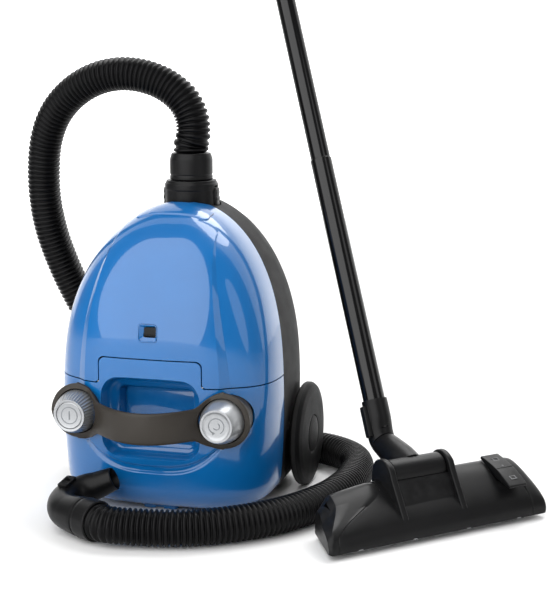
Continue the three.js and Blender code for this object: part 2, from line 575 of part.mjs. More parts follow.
// A ring of points about an axis that leans back by so many degrees.
function leanedRing(centre, degrees, r, sides = 20) {
  const across = leaned(degrees + 90);
  return Array.from({ length: sides }, (_, k) => {
    const a = 2 * Math.PI * k / sides;
    return centre.clone().add(new THREE.Vector3(r * Math.cos(a), 0, 0))
      .addScaledVector(across, -r * Math.sin(a));
  });
}
const seam = leaned(NECK.elbowLean).multiplyScalar(NECK.elbowLength);
const swivelAxis = leaned(NECK.swivelLean);
const wandAxis = leaned(NECK.wandLean);
const fromSeam = (lean, distance) => seam.clone().addScaledVector(leaned(lean), distance);
const alongElbow = (distance) => leaned(NECK.elbowLean).multiplyScalar(distance);
const elbowCone = loft([
  leanedRing(alongElbow(6), 73, 18),
  leanedRing(alongElbow(26), 72, 18.6),
  leanedRing(alongElbow(46), 66, 17.2),
  leanedRing(fromSeam(NECK.swivelLean, -0.4), NECK.swivelLean, WAND.sleeveR),
]);
const drum = cylinderX(NECK.drumR, -NECK.drumLength / 2, NECK.drumLength / 2, 0, 0);
const elbowBore = alongLean(cylinder(11, 80, 16), NECK.elbowLean, new THREE.Vector3());
add('neck_elbow', drum.add(elbowCone).subtract(elbowBore), BLACK, neck);
let sleeve = loft([
  leanedRing(fromSeam(NECK.swivelLean, 0.4), NECK.swivelLean, WAND.sleeveR),
  leanedRing(fromSeam(48, 6), 40, WAND.sleeveR),
  leanedRing(fromSeam(35, 14), NECK.wandLean, WAND.sleeveR),
  leanedRing(fromSeam(NECK.wandLean, WAND.sleeveLength), NECK.wandLean, WAND.sleeveR),
]);
sleeve = sleeve.add(alongLean(box(-WAND.sleeveR - 5, -WAND.sleeveR + 2, -5, 5, 8, 46), NECK.wandLean, seam));
const tubeSeat = fromSeam(NECK.wandLean, WAND.sleeveLength - WAND.inSleeve);
sleeve = sleeve.subtract(alongLean(cylinder(WAND.lowerR + GAP, 100, 20), NECK.wandLean, tubeSeat))
  .subtract(alongLean(cylinder(11, 100, 16), NECK.wandLean, fromSeam(NECK.wandLean, -2)))
  .subtract(alongLean(cylinder(11, 12, 16), NECK.swivelLean, fromSeam(NECK.swivelLean, -4)));
add('neck_sleeve', sleeve, BLACK, neck);

// ---- Wand tubes ----
const onWand = (solid, from) => alongLean(solid, NECK.wandLean, from);
const lowerFrom = tubeSeat.clone().addScaledVector(wandAxis, GAP);
const upperFrom = lowerFrom.clone().addScaledVector(wandAxis, WAND.lowerLength - WAND.overlap);
const lowerTube = pipe(WAND.lowerR, WAND.lowerBore, 0, WAND.lowerLength);
const upperTube = pipe(WAND.upperR, WAND.upperBore, 0, WAND.upperLength);
add('lower_tube', onWand(lowerTube, lowerFrom), GLOSS_BLACK, neck);
add('upper_tube', onWand(upperTube, upperFrom), GLOSS_BLACK, neck);

// ---- Inside the canister ----
const inside = shrunk(WALL + 2);
const filterHole = box(-58, 2, 20, 80, 160, 180);
add('bulkhead', inside.intersect(box(-150, 150, 12, 146, 170, 173)).subtract(filterHole), BLACK);
add('motor_filter', box(-57.5, 1.5, 20.5, 79.5, 171, 179), WHITE);
const motorAxis = [-28, 50];
const atMotor = (solid) => moved(solid, motorAxis[0], motorAxis[1], 0);
const motorShell = [[41, 70], [45, 70], [45, 128], [34, 134], [34, 152], [30, 152], [30, 130], [41, 124],
  [41, 70]];
add('motor_housing', atMotor(revolve(motorShell, 20)), WHITE);
add('motor_winding', atMotor(pipe(38, 24, 74, 112, 24)), COPPER);
const armature = atMotor(cylinder(21, 30, 20)).translate([0, 0, 78]);
add('motor_shaft', atMotor(cylinder(4, 76, 14)).translate([0, 0, 66]).add(armature), STEEL);
add('motor_fan', atMotor(pipe(28, 4.4, 136, 144, 28)), GREY);
add('motor_seal', atMotor(pipe(36.5, 34.4, 140, 156, 28)), RUBBER);
const reelAxis = [68, 90];
const atReel = (solid) => moved(facingY(solid), reelAxis[0], 0, reelAxis[1]);
const reelSection = [[7, 0], [44, 0], [44, 3], [22, 3], [22, 34], [44, 34], [44, 37], [7, 37], [7, 0]];
add('cord_reel', atReel(revolve(reelSection, 20)).translate([0, 14, 0]), GREY);
add('reel_spindle', atReel(cylinder(6, 50, 16)).translate([0, 8, 0]), STEEL);
add('exhaust_filter', box(-44, 44, 139, 144, 48, 112), WHITE);
let grille = box(-45.6, 45.6, 144.4, 148.2, 46.4, 113.6);
for (let i = 0; i < 8; i++) grille = grille.subtract(box(-40, 40, 140, 152, 51.5 + i * 7.6, 55.5 + i * 7.6));
add('exhaust_grille', grille, BLACK);
const bagHole = moved(cylinder(19, 10, 24), 0, INLET.y, 312);
add('bag_plate', box(-40, 40, 29, 99, 316, 319.5).subtract(bagHole), WHITE);
// [height, half width, half depth]
const BAG_SIZES = [[192, 40, 22], [200, 74, 36], [225, 92, 46], [260, 90, 46], [290, 74, 38], [308, 46, 28],
  [315, 30, 22]];
function bagRing([z, a, b]) {
  return circle(1, 16).map(([c, d]) => new THREE.Vector3(a * c, 28 + b * d + (z - 192) * 0.12, z));
}
add('dust_bag', loft(BAG_SIZES.map(bagRing)), WHITE);

export default root;
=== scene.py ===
"""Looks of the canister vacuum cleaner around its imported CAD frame.
Shapes are worked out in millimetres in the frame's axes and turned into metres when a mesh is made."""
import math

import bmesh
import bpy
import numpy as np
from mathutils import Matrix, Vector


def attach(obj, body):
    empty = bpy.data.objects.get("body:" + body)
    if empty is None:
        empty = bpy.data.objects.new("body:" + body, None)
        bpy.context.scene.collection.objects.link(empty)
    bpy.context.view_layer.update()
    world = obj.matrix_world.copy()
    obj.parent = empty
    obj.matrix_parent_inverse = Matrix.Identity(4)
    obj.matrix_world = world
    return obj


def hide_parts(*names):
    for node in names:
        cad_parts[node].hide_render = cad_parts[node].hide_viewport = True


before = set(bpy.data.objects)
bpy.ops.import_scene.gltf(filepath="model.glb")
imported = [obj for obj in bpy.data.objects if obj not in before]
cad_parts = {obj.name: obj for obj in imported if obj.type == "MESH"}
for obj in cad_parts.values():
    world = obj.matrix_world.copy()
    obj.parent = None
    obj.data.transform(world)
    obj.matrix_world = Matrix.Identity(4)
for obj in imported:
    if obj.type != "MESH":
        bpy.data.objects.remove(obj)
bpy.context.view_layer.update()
MM = 0.001

# ---- Driving dimensions, as in the CAD (millimetres) ----
BOTTOM, TOP, PEAK = 4.0, 366.5, 368.0
HALF_WIDTH, WIDEST = 138.0, 120.0
FRONT, NOSE_FRONT, FRONT_BEND = -98.0, 28.0, 200.0
BACK, NOSE_BACK, BACK_BEND = 148.0, 108.0, 180.0
CORNER = 30.0
FRONT_POWER, BACK_POWER = 3.0, 4.5
WALL = 3.2
SEAM_Z, TAB_Z, TAB_X, TAB_R, SEAM_GAP = 160.5, 192.8, 65.0, 8.0, 1.5
POCKET = dict(x=60.0, low=74.0, high=165.5, back=-56.0, r=20.0)
KNOB_X, KNOB_Z, EYE_Y, FACE_Y, EYE_R, HANDLE_BOW = 92.0, 124.5, -99.0, -123.0, 33.5, 40.5
WHEEL_R, WHEEL_Y, WHEEL_Z, WHEEL_IN, WHEEL_OUT = 66.0, 86.0, 66.5, 138.8, 155.5
INLET_Y, COLLAR_ROOM = 64.0, 37.6
CASTER_Z, CASTER_AXLE_Y, CASTER_AXLE_Z = 280.0, 152.0, 267.0
TOOL_AT, TOOL_YAW, TOOL_LENGTH, TOOL_DEPTH = Vector((324.9, -53.6, 0)), 46.0, 308.0, 78.0
NECK_AT = Vector((-7, 14, 69))
ELBOW_LEAN, ELBOW_LENGTH, SWIVEL_LEAN, WAND_LEAN = 73.0, 65.0, 57.0, 24.0
SLEEVE_R, SLEEVE_LENGTH, IN_SLEEVE, OVERLAP = 15.6, 52.0, 36.0, 40.0
LOWER_R, LOWER_BORE, LOWER_LENGTH = 13.4, 12.45, 344.0
UPPER_R, UPPER_BORE, UPPER_LENGTH = 12.3, 11.3, 480.0


# ---- Camera, floor and light ----
def make_camera():
    data = bpy.data.cameras.new("camera")
    data.lens = 87.1
    data.sensor_width = 36
    camera = bpy.data.objects.new("camera", data)
    camera.location = (0.6156, -1.6914, 0.570)
    camera.rotation_euler = (math.radians(90 - 10.37), 0, math.radians(15.89))
    bpy.context.scene.collection.objects.link(camera)
    bpy.context.scene.camera = camera


def area_light(name, at, aim, size, power):
    data = bpy.data.lights.new(name, "AREA")
    data.shape = "ELLIPSE"
    data.size, data.size_y = size
    data.energy = power
    light = bpy.data.objects.new(name, data)
    light.location = at
    light.rotation_euler = (Vector(aim) - Vector(at)).to_track_quat("-Z", "Y").to_euler()
    bpy.context.scene.collection.objects.link(light)
    return light


def make_stage():
    world = bpy.data.worlds.new("studio")
    world.use_nodes = True
    background = world.node_tree.nodes["Background"]
    background.inputs["Color"].default_value = (1, 1, 1, 1)
    background.inputs["Strength"].default_value = 0.2
    bpy.context.scene.world = world
    bpy.ops.mesh.primitive_plane_add(size=30, location=(0, 0, -0.0005))
    floor = bpy.context.object
    floor.name = "floor"
    look = bpy.data.materials.new("floor_white")
    look.use_nodes = True
    shader = look.node_tree.nodes["Principled BSDF"]
    shader.inputs["Base Color"].default_value = (0.78, 0.78, 0.78, 1)
    shader.inputs["Roughness"].default_value = 0.6
    shader.inputs["Specular IOR Level"].default_value = 0.15
    floor.data.materials.append(look)
    bpy.ops.mesh.primitive_plane_add(size=14, location=(0, 2.8, 6.5), rotation=(math.pi / 2, 0, 0))
    backdrop = bpy.context.object
    backdrop.name = "backdrop"
    glow = bpy.data.materials.new("backdrop_white")
    glow.use_nodes = True
    shader = glow.node_tree.nodes["Principled BSDF"]
    shader.inputs["Base Color"].default_value = (0.9, 0.9, 0.9, 1)
    shader.inputs["Specular IOR Level"].default_value = 0
    shader.inputs["Emission Color"].default_value = (1, 1, 1, 1)
    shader.inputs["Emission Strength"].default_value = 1.0
    backdrop.data.materials.append(glow)
    area_light("softbox", (-0.54, -1.6, 1.31), (0, -0.05, 0.25), (3.0, 4.6), 98)
    area_light("top", (0.4, 1.4, 2.4), (0, 0.8, 0), (2.0, 1.6), 44)
    area_light("side_strip", (1.9, -0.7, 1.0), (0.1, 0, 0.25), (0.8, 1.9), 5)
    view = bpy.context.scene.view_settings
    view.view_transform = "Standard"


# ---- Mesh helpers ----
def link(mesh, name):
    piece = bpy.data.objects.new(name, mesh)
    bpy.context.scene.collection.objects.link(piece)
    return piece


def make(name, points, faces):
    mesh = bpy.data.meshes.new(name)
    mesh.from_pydata([tuple(p) for p in np.asarray(points, float) * MM], [], faces)
    mesh.validate()
    return link(mesh, name)


def outward(piece):
    tool = bmesh.new()
    tool.from_mesh(piece.data)
    bmesh.ops.remove_doubles(tool, verts=tool.verts, dist=1e-6)
    bmesh.ops.recalc_face_normals(tool, faces=tool.faces)
    tool.to_mesh(piece.data)
    tool.free()
    return piece


def loft(name, rings, closed=True, caps=True):
    """A skin through rings of points; closed joins each ring's ends, caps fills the first and last."""
    count = len(rings[0])
    points = np.concatenate([np.asarray(r, float) for r in rings])
    faces = []
    around = count if closed else count - 1
    for i in range(len(rings) - 1):
        a, b = i * count, (i + 1) * count
        faces += [(a + k, a + (k + 1) % count, b + (k + 1) % count, b + k) for k in range(around)]
    if caps:
        last = (len(rings) - 1) * count
        faces += [tuple(reversed(range(count))), tuple(range(last, last + count))]
    return outward(make(name, points, faces))


def ring_points(centre, u, v, ru, rv=None, sides=32, power=1.0):
    angles = np.arange(sides) * 2 * np.pi / sides
    c, s = np.cos(angles), np.sin(angles)
    c, s = np.sign(c) * np.abs(c) ** power, np.sign(s) * np.abs(s) ** power
    centre, u, v = (np.asarray(p, float) for p in (centre, u, v))
    return centre + np.outer(c * ru, u) + np.outer(s * (ru if rv is None else rv), v)


def revolve(name, profile, sides=64, at=(0, 0, 0), axis="Z"):
    """Turns (radius, height) pairs about an axis. The profile ends on the axis or closes on itself."""
    rings = [ring_points((0, 0, h), (1, 0, 0), (0, 1, 0), max(r, 1e-4), sides=sides) for r, h in profile]
    closed_loop = profile[0] == profile[-1]
    piece = loft(name, rings, caps=not closed_loop)
    turn = {"Z": Matrix(), "X": Matrix.Rotation(math.pi / 2, 4, "Y"),
        "Y": Matrix.Rotation(-math.pi / 2, 4, "X")}[axis]
    piece.data.transform(Matrix.Translation(Vector(at) * MM) @ turn)
    return outward(piece)


def rod(r, low, high):
    """The (radius, height) outline of a plain solid rod."""
    return [(0, low), (r, low), (r, high), (0, high)]


def rounded_profile(points, radius, steps=4):
    """Rounds the inner corners of an open outline of (radius, height) pairs."""
    out = [points[0]]
    for before, here, after in zip(points, points[1:], points[2:]):
        b, h, a = (Vector(p) for p in (before, here, after))
        reach = min(radius, (b - h).length * 0.45, (a - h).length * 0.45)
        start, end = h + (b - h).normalized() * reach, h + (a - h).normalized() * reach
        for i in range(steps + 1):
            t = i / steps
            out.append(tuple(start.lerp(h, t).lerp(h.lerp(end, t), t)))
    out.append(points[-1])
    return out


def centripetal(points, count):
    """The centripetal Catmull-Rom curve through points, sampled evenly along its length."""
    p = [np.asarray(q, float) for q in points]
    p = [2 * p[0] - p[1]] + p + [2 * p[-1] - p[-2]]
    fine = []
    for i in range(1, len(p) - 2):
        a, b, c, d = p[i - 1:i + 3]
        t1 = max(np.linalg.norm(b - a) ** 0.5, 1e-4)
        t2 = t1 + max(np.linalg.norm(c - b) ** 0.5, 1e-4)
        t3 = t2 + max(np.linalg.norm(d - c) ** 0.5, 1e-4)
        for t in np.linspace(t1, t2, 24, endpoint=i == len(p) - 3):
            ab, bc = a + (b - a) * t / t1, b + (c - b) * (t - t1) / (t2 - t1)
            cd = c + (d - c) * (t - t2) / (t3 - t2)
            abc = ab + (bc - ab) * t / t2
            bcd = bc + (cd - bc) * (t - t1) / (t3 - t1)
            fine.append(abc + (bcd - abc) * (t - t1) / (t2 - t1))
    return resample(fine, count)


def resample(points, count):
    points = np.asarray(points, float)
    run = np.concatenate([[0], np.cumsum(np.linalg.norm(np.diff(points, axis=0), axis=1))])
    at = np.linspace(0, run[-1], count)
    return np.stack([np.interp(at, run, points[:, i]) for i in range(points.shape[1])], 1)


def length_of(points):
    return float(np.linalg.norm(np.diff(points, axis=0), axis=1).sum())


def sweep(name, path, radii, sides=32, caps=True, side=(0, 0, 1)):
    """A round tube along a path, with a radius at each of its points."""
    side = np.asarray(side, float)
    rings = []
    for i, at in enumerate(path):
        ahead = path[min(i + 1, len(path) - 1)] - path[max(i - 1, 0)]
        ahead = ahead / np.linalg.norm(ahead)
        side = side - ahead * side.dot(ahead)
        side = side / np.linalg.norm(side)
        rings.append(ring_points(at, side, np.cross(ahead, side), radii[i], sides=sides))
    return loft(name, rings, caps=caps)


def prism(name, outline, low, high, axis="Z"):
    """An outline pushed along an axis: (y, z) pairs for X, (x, z) for Y and (x, y) for Z."""
    place = {"X": lambda a, b, h: (h, a, b), "Y": lambda a, b, h: (a, h, b), "Z": lambda a, b,
        h: (a, b, h)}[axis]
    return loft(name, [[place(a, b, h) for a, b in outline] for h in (low, high)])


def rounded_rect(x0, x1, z0, z1, r, steps=6):
    out = []
    for cx, cz, start in ((x1 - r, z0 + r, -90), (x1 - r, z1 - r, 0), (x0 + r, z1 - r, 90),
            (x0 + r, z0 + r, 180)):
        for i in range(steps + 1):
            a = math.radians(start + 90 * i / steps)
            out.append((cx + r * math.cos(a), cz + r * math.sin(a)))
    return out


def block(x0, x1, y0, y1, z0, z1, r=0.0):
    """A box with its upright edges rounded, as a cutting tool or a small moulding."""
    if r:
        return prism("block", rounded_rect(x0, x1, y0, y1, r, 4), z0, z1)
    return prism("block", [(x0, y0), (x1, y0), (x1, y1), (x0, y1)], z0, z1)


def drop(piece):
    bpy.data.meshes.remove(piece.data)


def combine(piece, other, how="DIFFERENCE", keep=False):
    """Cuts, joins or intersects two closed meshes and leaves the result in the first."""
    change = piece.modifiers.new("combine", "BOOLEAN")
    change.operation = how
    change.solver = "MANIFOLD"
    change.object = other
    apply_modifiers(piece)
    if not keep:
        drop(other)
    return piece


def apply_modifiers(piece):
    bpy.context.view_layer.update()
    graph = bpy.context.evaluated_depsgraph_get()
    mesh = bpy.data.meshes.new_from_object(piece.evaluated_get(graph))
    piece.modifiers.clear()
    old = piece.data
    piece.data = mesh
    bpy.data.meshes.remove(old)
    return piece


def copy_of(piece, name=None):
    return link(piece.data.copy(), name or piece.name)


def joined(name, pieces):
    """Puts several closed meshes into one piece without merging them."""
    tool = bmesh.new()
    for piece in pieces:
        tool.from_mesh(piece.data)
        drop(piece)
    mesh = bpy.data.meshes.new(name)
    tool.to_mesh(mesh)
    tool.free()
    return link(mesh, name)


def transformed(piece, matrix):
    piece.data.transform(matrix)
    if matrix.determinant() < 0:
        piece.data.flip_normals()
    return piece


def moved(piece, x=0, y=0, z=0):
    return transformed(piece, Matrix.Translation(Vector((x, y, z)) * MM))


def bevelled(piece, width, segments=2, angle=40):
    change = piece.modifiers.new("bevel", "BEVEL")
    change.width = width * MM
    change.segments = segments
    change.limit_method = "ANGLE"
    change.angle_limit = math.radians(angle)
    change.use_clamp_overlap = True
    return apply_modifiers(piece)


def set_smooth(piece, angle=32):
    piece.data.polygons.foreach_set("use_smooth", [True] * len(piece.data.polygons))
    piece.data.set_sharp_from_angle(angle=math.radians(angle))


def present(piece, look, body, replaces=(), angle=32, name=None):
    """Gives a piece its material, the body it rides and the CAD nodes it stands for."""
    if name:
        piece.name = name
    piece.data.materials.clear()
    piece.data.materials.append(look)
    set_smooth(piece, angle)
    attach(piece, body)
    if replaces:
        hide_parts(*replaces)
    return piece


# ---- Materials ----
def linear(hex_color):
    """A #RRGGBB colour as linear light."""
    parts = [int(hex_color[i:i + 2], 16) / 255 for i in (1, 3, 5)]
    return [p / 12.92 if p <= 0.04045 else ((p + 0.055) / 1.055) ** 2.4 for p in parts] + [1.0]


class Look:
    """A procedural material on the Principled shader, with helpers for its textures."""

    def __init__(self, name, rough=0.4, metal=0.0, coat=0.0, coat_rough=0.03, specular=0.5, coat_ior=1.5):
        self.material = bpy.data.materials.new(name)
        self.material.use_nodes = True
        self.tree = self.material.node_tree
        self.shader = self.tree.nodes["Principled BSDF"]
        for socket, value in (("Roughness", rough), ("Metallic", metal), ("Coat Weight", coat),
                ("Coat IOR", coat_ior), ("Coat Roughness", coat_rough), ("Specular IOR Level", specular)):
            self.shader.inputs[socket].default_value = value
        self.place = self.tree.nodes.new("ShaderNodeTexCoord").outputs["Object"]
        self.normal = None

    def node(self, kind, **settings):
        made = self.tree.nodes.new("ShaderNode" + kind)
        for key, value in settings.items():
            setattr(made, key, value)
        return made

    def noise(self, scale, detail=3.0, rough=0.55, stretch=None):
        texture = self.node("TexNoise")
        texture.inputs["Scale"].default_value = scale
        texture.inputs["Detail"].default_value = detail
        texture.inputs["Roughness"].default_value = rough
        source = self.place
        if stretch:
            mapping = self.node("Mapping")
            mapping.inputs["Scale"].default_value = stretch
            self.tree.links.new(source, mapping.inputs["Vector"])
            source = mapping.outputs["Vector"]
        self.tree.links.new(source, texture.inputs["Vector"])
        return texture.outputs["Fac"]

    def remap(self, source, low, high, to_low, to_high):
        node = self.node("MapRange")
        for socket, value in (("From Min", low), ("From Max", high), ("To Min", to_low), ("To Max", to_high)):
            node.inputs[socket].default_value = value
        self.tree.links.new(source, node.inputs["Value"])
        return node.outputs["Result"]

    def mix(self, factor, first, second, how="MIX"):
        """Mixes two colours, each a #RRGGBB value or an output, by a texture."""
        node = self.node("Mix", data_type="RGBA", blend_type=how)
        self.tree.links.new(factor, node.inputs["Factor"])
        for socket, value in ((node.inputs[6], first), (node.inputs[7], second)):
            if isinstance(value, str):
                socket.default_value = linear(value)
            else:
                self.tree.links.new(value, socket)
        return node.outputs[2]

    def color(self, source):
        if isinstance(source, str):
            self.shader.inputs["Base Color"].default_value = linear(source)
        else:
            self.tree.links.new(source, self.shader.inputs["Base Color"])
        return self

    def roughness(self, source):
        self.tree.links.new(source, self.shader.inputs["Roughness"])
        return self

    def edges(self, low=0.52, high=0.62):
        """How far a place stands out as an edge, from 0 to 1."""
        return self.remap(self.node("NewGeometry").outputs["Pointiness"], low, high, 0, 1)

    def bump(self, source, height, strength=1.0):
        node = self.node("Bump")
        node.inputs["Distance"].default_value = height * MM
        node.inputs["Strength"].default_value = strength
        self.tree.links.new(source, node.inputs["Height"])
        if self.normal:
            self.tree.links.new(self.normal, node.inputs["Normal"])
        self.normal = node.outputs["Normal"]
        self.tree.links.new(self.normal, self.shader.inputs["Normal"])
        return self


def plastic(name, base, other, edge, rough, rough_spread=0.08, grain=(1400, 0.04), ripple=None, wear_and_highlight=0.5,
        **settings):
    """A moulded plastic: two close tones in soft patches, lighter edges that are partly rubbed wear and
    partly a painted highlight, and a fine moulded grain.
    """
    look = Look(name, rough, **settings)
    patches = look.noise(14, 4)
    tone = look.mix(look.remap(patches, 0.35, 0.65, 0, 1), base, other)
    # Painted highlight and wear: convex edges, found by pointiness, are lightened towards the edge colour in
    # noisy patches
    rubbed_and_highlit = look.node("Math", operation="MULTIPLY")
    look.tree.links.new(look.edges(), rubbed_and_highlit.inputs[0])
    look.tree.links.new(look.remap(look.noise(90, 4), 0.4, 0.7, 0, wear_and_highlight), rubbed_and_highlit.inputs[1])
    look.color(look.mix(rubbed_and_highlit.outputs[0], tone, edge))
    look.roughness(look.remap(look.noise(45, 5), 0.3, 0.7, rough - rough_spread / 2,
        rough + rough_spread / 2))
    look.bump(look.noise(grain[0], 2), grain[1])
    if ripple:
        look.bump(look.noise(ripple[0], 1), ripple[1])
    return look.material


def metal_look(name, base, other, rough, spread, fleck, metal=1.0, brushed=None, **settings):
    """Lacquered or turned metal: fine flecks, or brushing lines stretched along one axis."""
    look = Look(name, rough, metal, **settings)
    flecks = look.noise(fleck, 2, stretch=brushed)
    look.color(look.mix(look.remap(flecks, 0.35, 0.65, 0, 1), base, other))
    look.roughness(look.remap(look.noise(60, 4), 0.3, 0.7, rough - spread / 2, rough + spread / 2))
    look.bump(flecks, 0.01)
    return look.material


def cloth_look(name, base, other, weave, height):
    """Filter fleece or bag paper: crossed fibres over a soft mottle."""
    look = Look(name, 0.95, specular=0.2)
    fibres = look.noise(weave, 6, 0.7, stretch=(1, 1, 0.25))
    across = look.noise(weave * 0.8, 6, 0.7, stretch=(0.25, 1, 1))
    look.color(look.mix(look.remap(fibres, 0.3, 0.7, 0, 1), base, other))
    look.bump(fibres, height)
    look.bump(across, height)
    return look.material


# The third colour of each plastic is its lighter edge colour: partly wear, partly a painted highlight on
# rounded edges
BLUE = plastic("blue_gloss_shell", "#035E9E", "#035A98", "#2F7BB6", 0.3, 0.05, grain=(2600, 0.004),
    ripple=(70, 0.012), wear_and_highlight=0.2, specular=0.2, coat=1.0, coat_rough=0.035, coat_ior=1.5)
BASE_BLACK = plastic("black_grained", "#0B0B0C", "#0F0F10", "#1E1E1F", 0.56, 0.1, grain=(2200, 0.05),
    specular=0.1)
SATIN_BLACK = plastic("black_satin", "#0B0B0C", "#0F0F10", "#212122", 0.38, 0.08, grain=(2600, 0.015),
    specular=0.17)
GLOSS_BLACK = plastic("black_gloss_tube", "#060607", "#09090A", "#252527", 0.16, 0.05, grain=(2600, 0.003),
    ripple=(60, 0.01), wear_and_highlight=0.3, specular=0.25, coat=0.22, coat_rough=0.05)
BROWN = plastic("handle_soft_brown", "#2A2622", "#2F2B26", "#4A453E", 0.42, 0.08, grain=(1800, 0.03),
    specular=0.25)
HOSE_BLACK = plastic("hose_black", "#030304", "#060607", "#161618", 0.36, 0.08, grain=(1500, 0.02),
    specular=0.12)
RUBBER = plastic("tyre_rubber", "#0E0E0E", "#131313", "#222222", 0.66, 0.12, grain=(1100, 0.06),
    specular=0.25)
GREY = plastic("grey_moulding", "#8B8E90", "#838688", "#B0B2B4", 0.5, 0.1)
WHITE = plastic("white_moulding", "#DEDCD6", "#D6D4CE", "#EEEDE9", 0.45, 0.1)
SMOKED = plastic("smoked_lens", "#08090B", "#0B0C0E", "#1E2024", 0.2, 0.05, grain=(2600, 0.002),
    specular=0.15)
MARK = plastic("print_dark", "#6A6D70", "#727579", "#85888B", 0.5, 0.08)
FLOOR_MARK = plastic("print_light", "#4A4B4D", "#444547", "#5E5F61", 0.5, 0.08)
SILVER = metal_look("silver_lacquer", "#A6A8AA", "#97999C", 0.36, 0.06, 5200, metal=0.7, coat=0.4,
    coat_rough=0.08)
STEEL = metal_look("turned_steel", "#B4B5B6", "#9C9D9F", 0.28, 0.1, 900, brushed=(1, 30, 30))
COPPER = metal_look("winding_copper", "#B8703C", "#93521F", 0.35, 0.12, 700, brushed=(1, 1, 14))
FLEECE = cloth_look("filter_fleece", "#ECEAE4", "#D6D3CA", 1500, 0.12)
BRISTLE = cloth_look("bristle", "#2A2A2B", "#121213", 2600, 0.2)


# ---- The body's outer form ----
def part_y(z):
    return 5 + 39 * max(0.0, (z - 150) / (TOP - 150)) ** 1.5


def edge_round(z, radius):
    up = z - BOTTOM
    return 0.0 if up >= radius else radius - math.sqrt(radius ** 2 - (radius - up) ** 2)


def half_width(z):
    if z > WIDEST:
        return HALF_WIDTH * (1 - ((z - WIDEST) / (PEAK - WIDEST)) ** 2.6) ** 0.526
    return HALF_WIDTH - 7 * ((WIDEST - z) / WIDEST) ** 2 - edge_round(z, CORNER)


def front_y(z):
    if z > FRONT_BEND:
        return NOSE_FRONT + (FRONT - NOSE_FRONT) * (1 - ((z - FRONT_BEND)
            / (PEAK - FRONT_BEND)) ** 2.2) ** 0.588
    return FRONT + 9 * max(0.0, (WIDEST - z) / WIDEST) ** 2 + edge_round(z, CORNER)


def back_y(z):
    return BACK - (BACK - NOSE_BACK) * max(0.0, (z - BACK_BEND) / (TOP - BACK_BEND)) ** 1.7 - edge_round(z,
        12)


def smoothstep(low, high, x):
    t = np.clip((x - low) / (high - low), 0, 1)
    return t * t * (3 - 2 * t)


def crease(z):
    """The half width of the lid's raised panel and of the facet outside it."""
    u = max(0.0, (z - 164) / 163)
    inner = min(85.2 - 22 * u ** 1.55, 0.84 * half_width(z))
    return inner, min(inner + 2 + 10.5 * max(0.0, 1 - u) ** 0.8, 0.9 * half_width(z))


def relief(x, z):
    """How far the front is drawn in: beside the raised panel, and in the channel under the pocket."""
    inner, outer = crease(z)
    u = (z - 164) / 163
    fade = float(np.clip(1.08 - u, 0, 1)) ** 0.5 if u > 0 else float(smoothstep(108, 164, z))
    side = np.clip((x - inner) / (outer - inner), 0, 1)
    far = 1 - np.clip((x - outer - 4) / max(0.97 * half_width(z) - outer - 4, 1), 0, 1) ** 1.4
    low, high = 53 + 33 * (x / 85) ** 3.2, 63 + 22 * (x / 78) ** 3
    channel = smoothstep(low - 1, low + 3, z) * (1 - smoothstep(high - 3, high + 1, z))
    return 4.0 * fade * side * far + 2.8 * channel * (1 - smoothstep(84, 92, x))


def body_ring(z, detailed):
    width, middle = half_width(z), part_y(z)
    front, back = middle - front_y(z), back_y(z) - middle
    fp, bp = 2 / FRONT_POWER, 2 / BACK_POWER
    if detailed:
        inner, outer = (math.acos((x / width) ** (1 / fp)) for x in crease(z))
        marks = [0, outer, inner, math.pi - inner, math.pi - outer, math.pi]
        counts = [24, 4, 64, 4, 24]
    else:
        marks, counts = [0, math.pi], [48]
    angles = np.concatenate([np.linspace(a, b, n, endpoint=False) for a, b,
        n in zip(marks, marks[1:], counts)])
    c, s = np.cos(angles), np.sin(angles)
    x, drop_y = width * np.sign(c) * np.abs(c) ** fp, front * np.abs(s) ** fp
    if detailed:
        pull = relief(np.abs(x), z)
        nx, ny = x / width ** 2, drop_y / front ** 2
        size = np.hypot(nx, ny)
        x, drop_y = x - pull * nx / size, drop_y - pull * ny / size
    near = np.stack([x, middle - drop_y, np.full_like(x, z)], 1)
    behind = np.linspace(math.pi, 2 * math.pi, 56 if detailed else 32, endpoint=False)
    c, s = np.cos(behind), -np.sin(behind)
    x, y = width * np.sign(c) * np.abs(c) ** bp, middle + back * np.abs(s) ** bp
    return np.concatenate([near, np.stack([x, y, np.full_like(x, z)], 1)])


def body_levels(fine):
    corner = BOTTOM + CORNER * (1 - np.cos(np.linspace(0, math.pi / 2, 12 if fine else 6)))
    nose = 330 + (TOP - 330) * np.sin(np.linspace(0, math.pi / 2, 18 if fine else 8)) ** 1.05
    if not fine:
        return np.concatenate([corner[:-1], np.linspace(BOTTOM + CORNER, 325, 16), nose])
    return np.concatenate([corner[:-1], np.linspace(34, 49, 6), np.arange(50, 96, 0.8),
        np.linspace(98, 148, 14), np.linspace(151, 200, 22), np.linspace(204, 326, 32), nose])


def body_form(detailed=True):
    return loft("form", [body_ring(z, detailed) for z in body_levels(detailed)])


def shrunk_form(by):
    form = body_form(False)
    middle = Vector((0, (FRONT + BACK) / 2, (BOTTOM + TOP) / 2)) * MM
    keep = [(size - 2 * by) / size for size in (2 * HALF_WIDTH, BACK - FRONT, TOP - BOTTOM)]
    return transformed(form, Matrix.Translation(middle) @ Matrix.Diagonal((*keep,
        1)) @ Matrix.Translation(-middle))


def part_side(front, off):
    """Everything in front of the parting surface, or behind it."""
    levels = [-20, 100, *np.linspace(150, TOP, 28), 420]
    line = [(part_y(min(z, TOP)) + off, z) for z in levels]
    far = -400 if front else 400
    return prism("side", [*line, (far, 420), (far, -20)], -250, 250, "X")


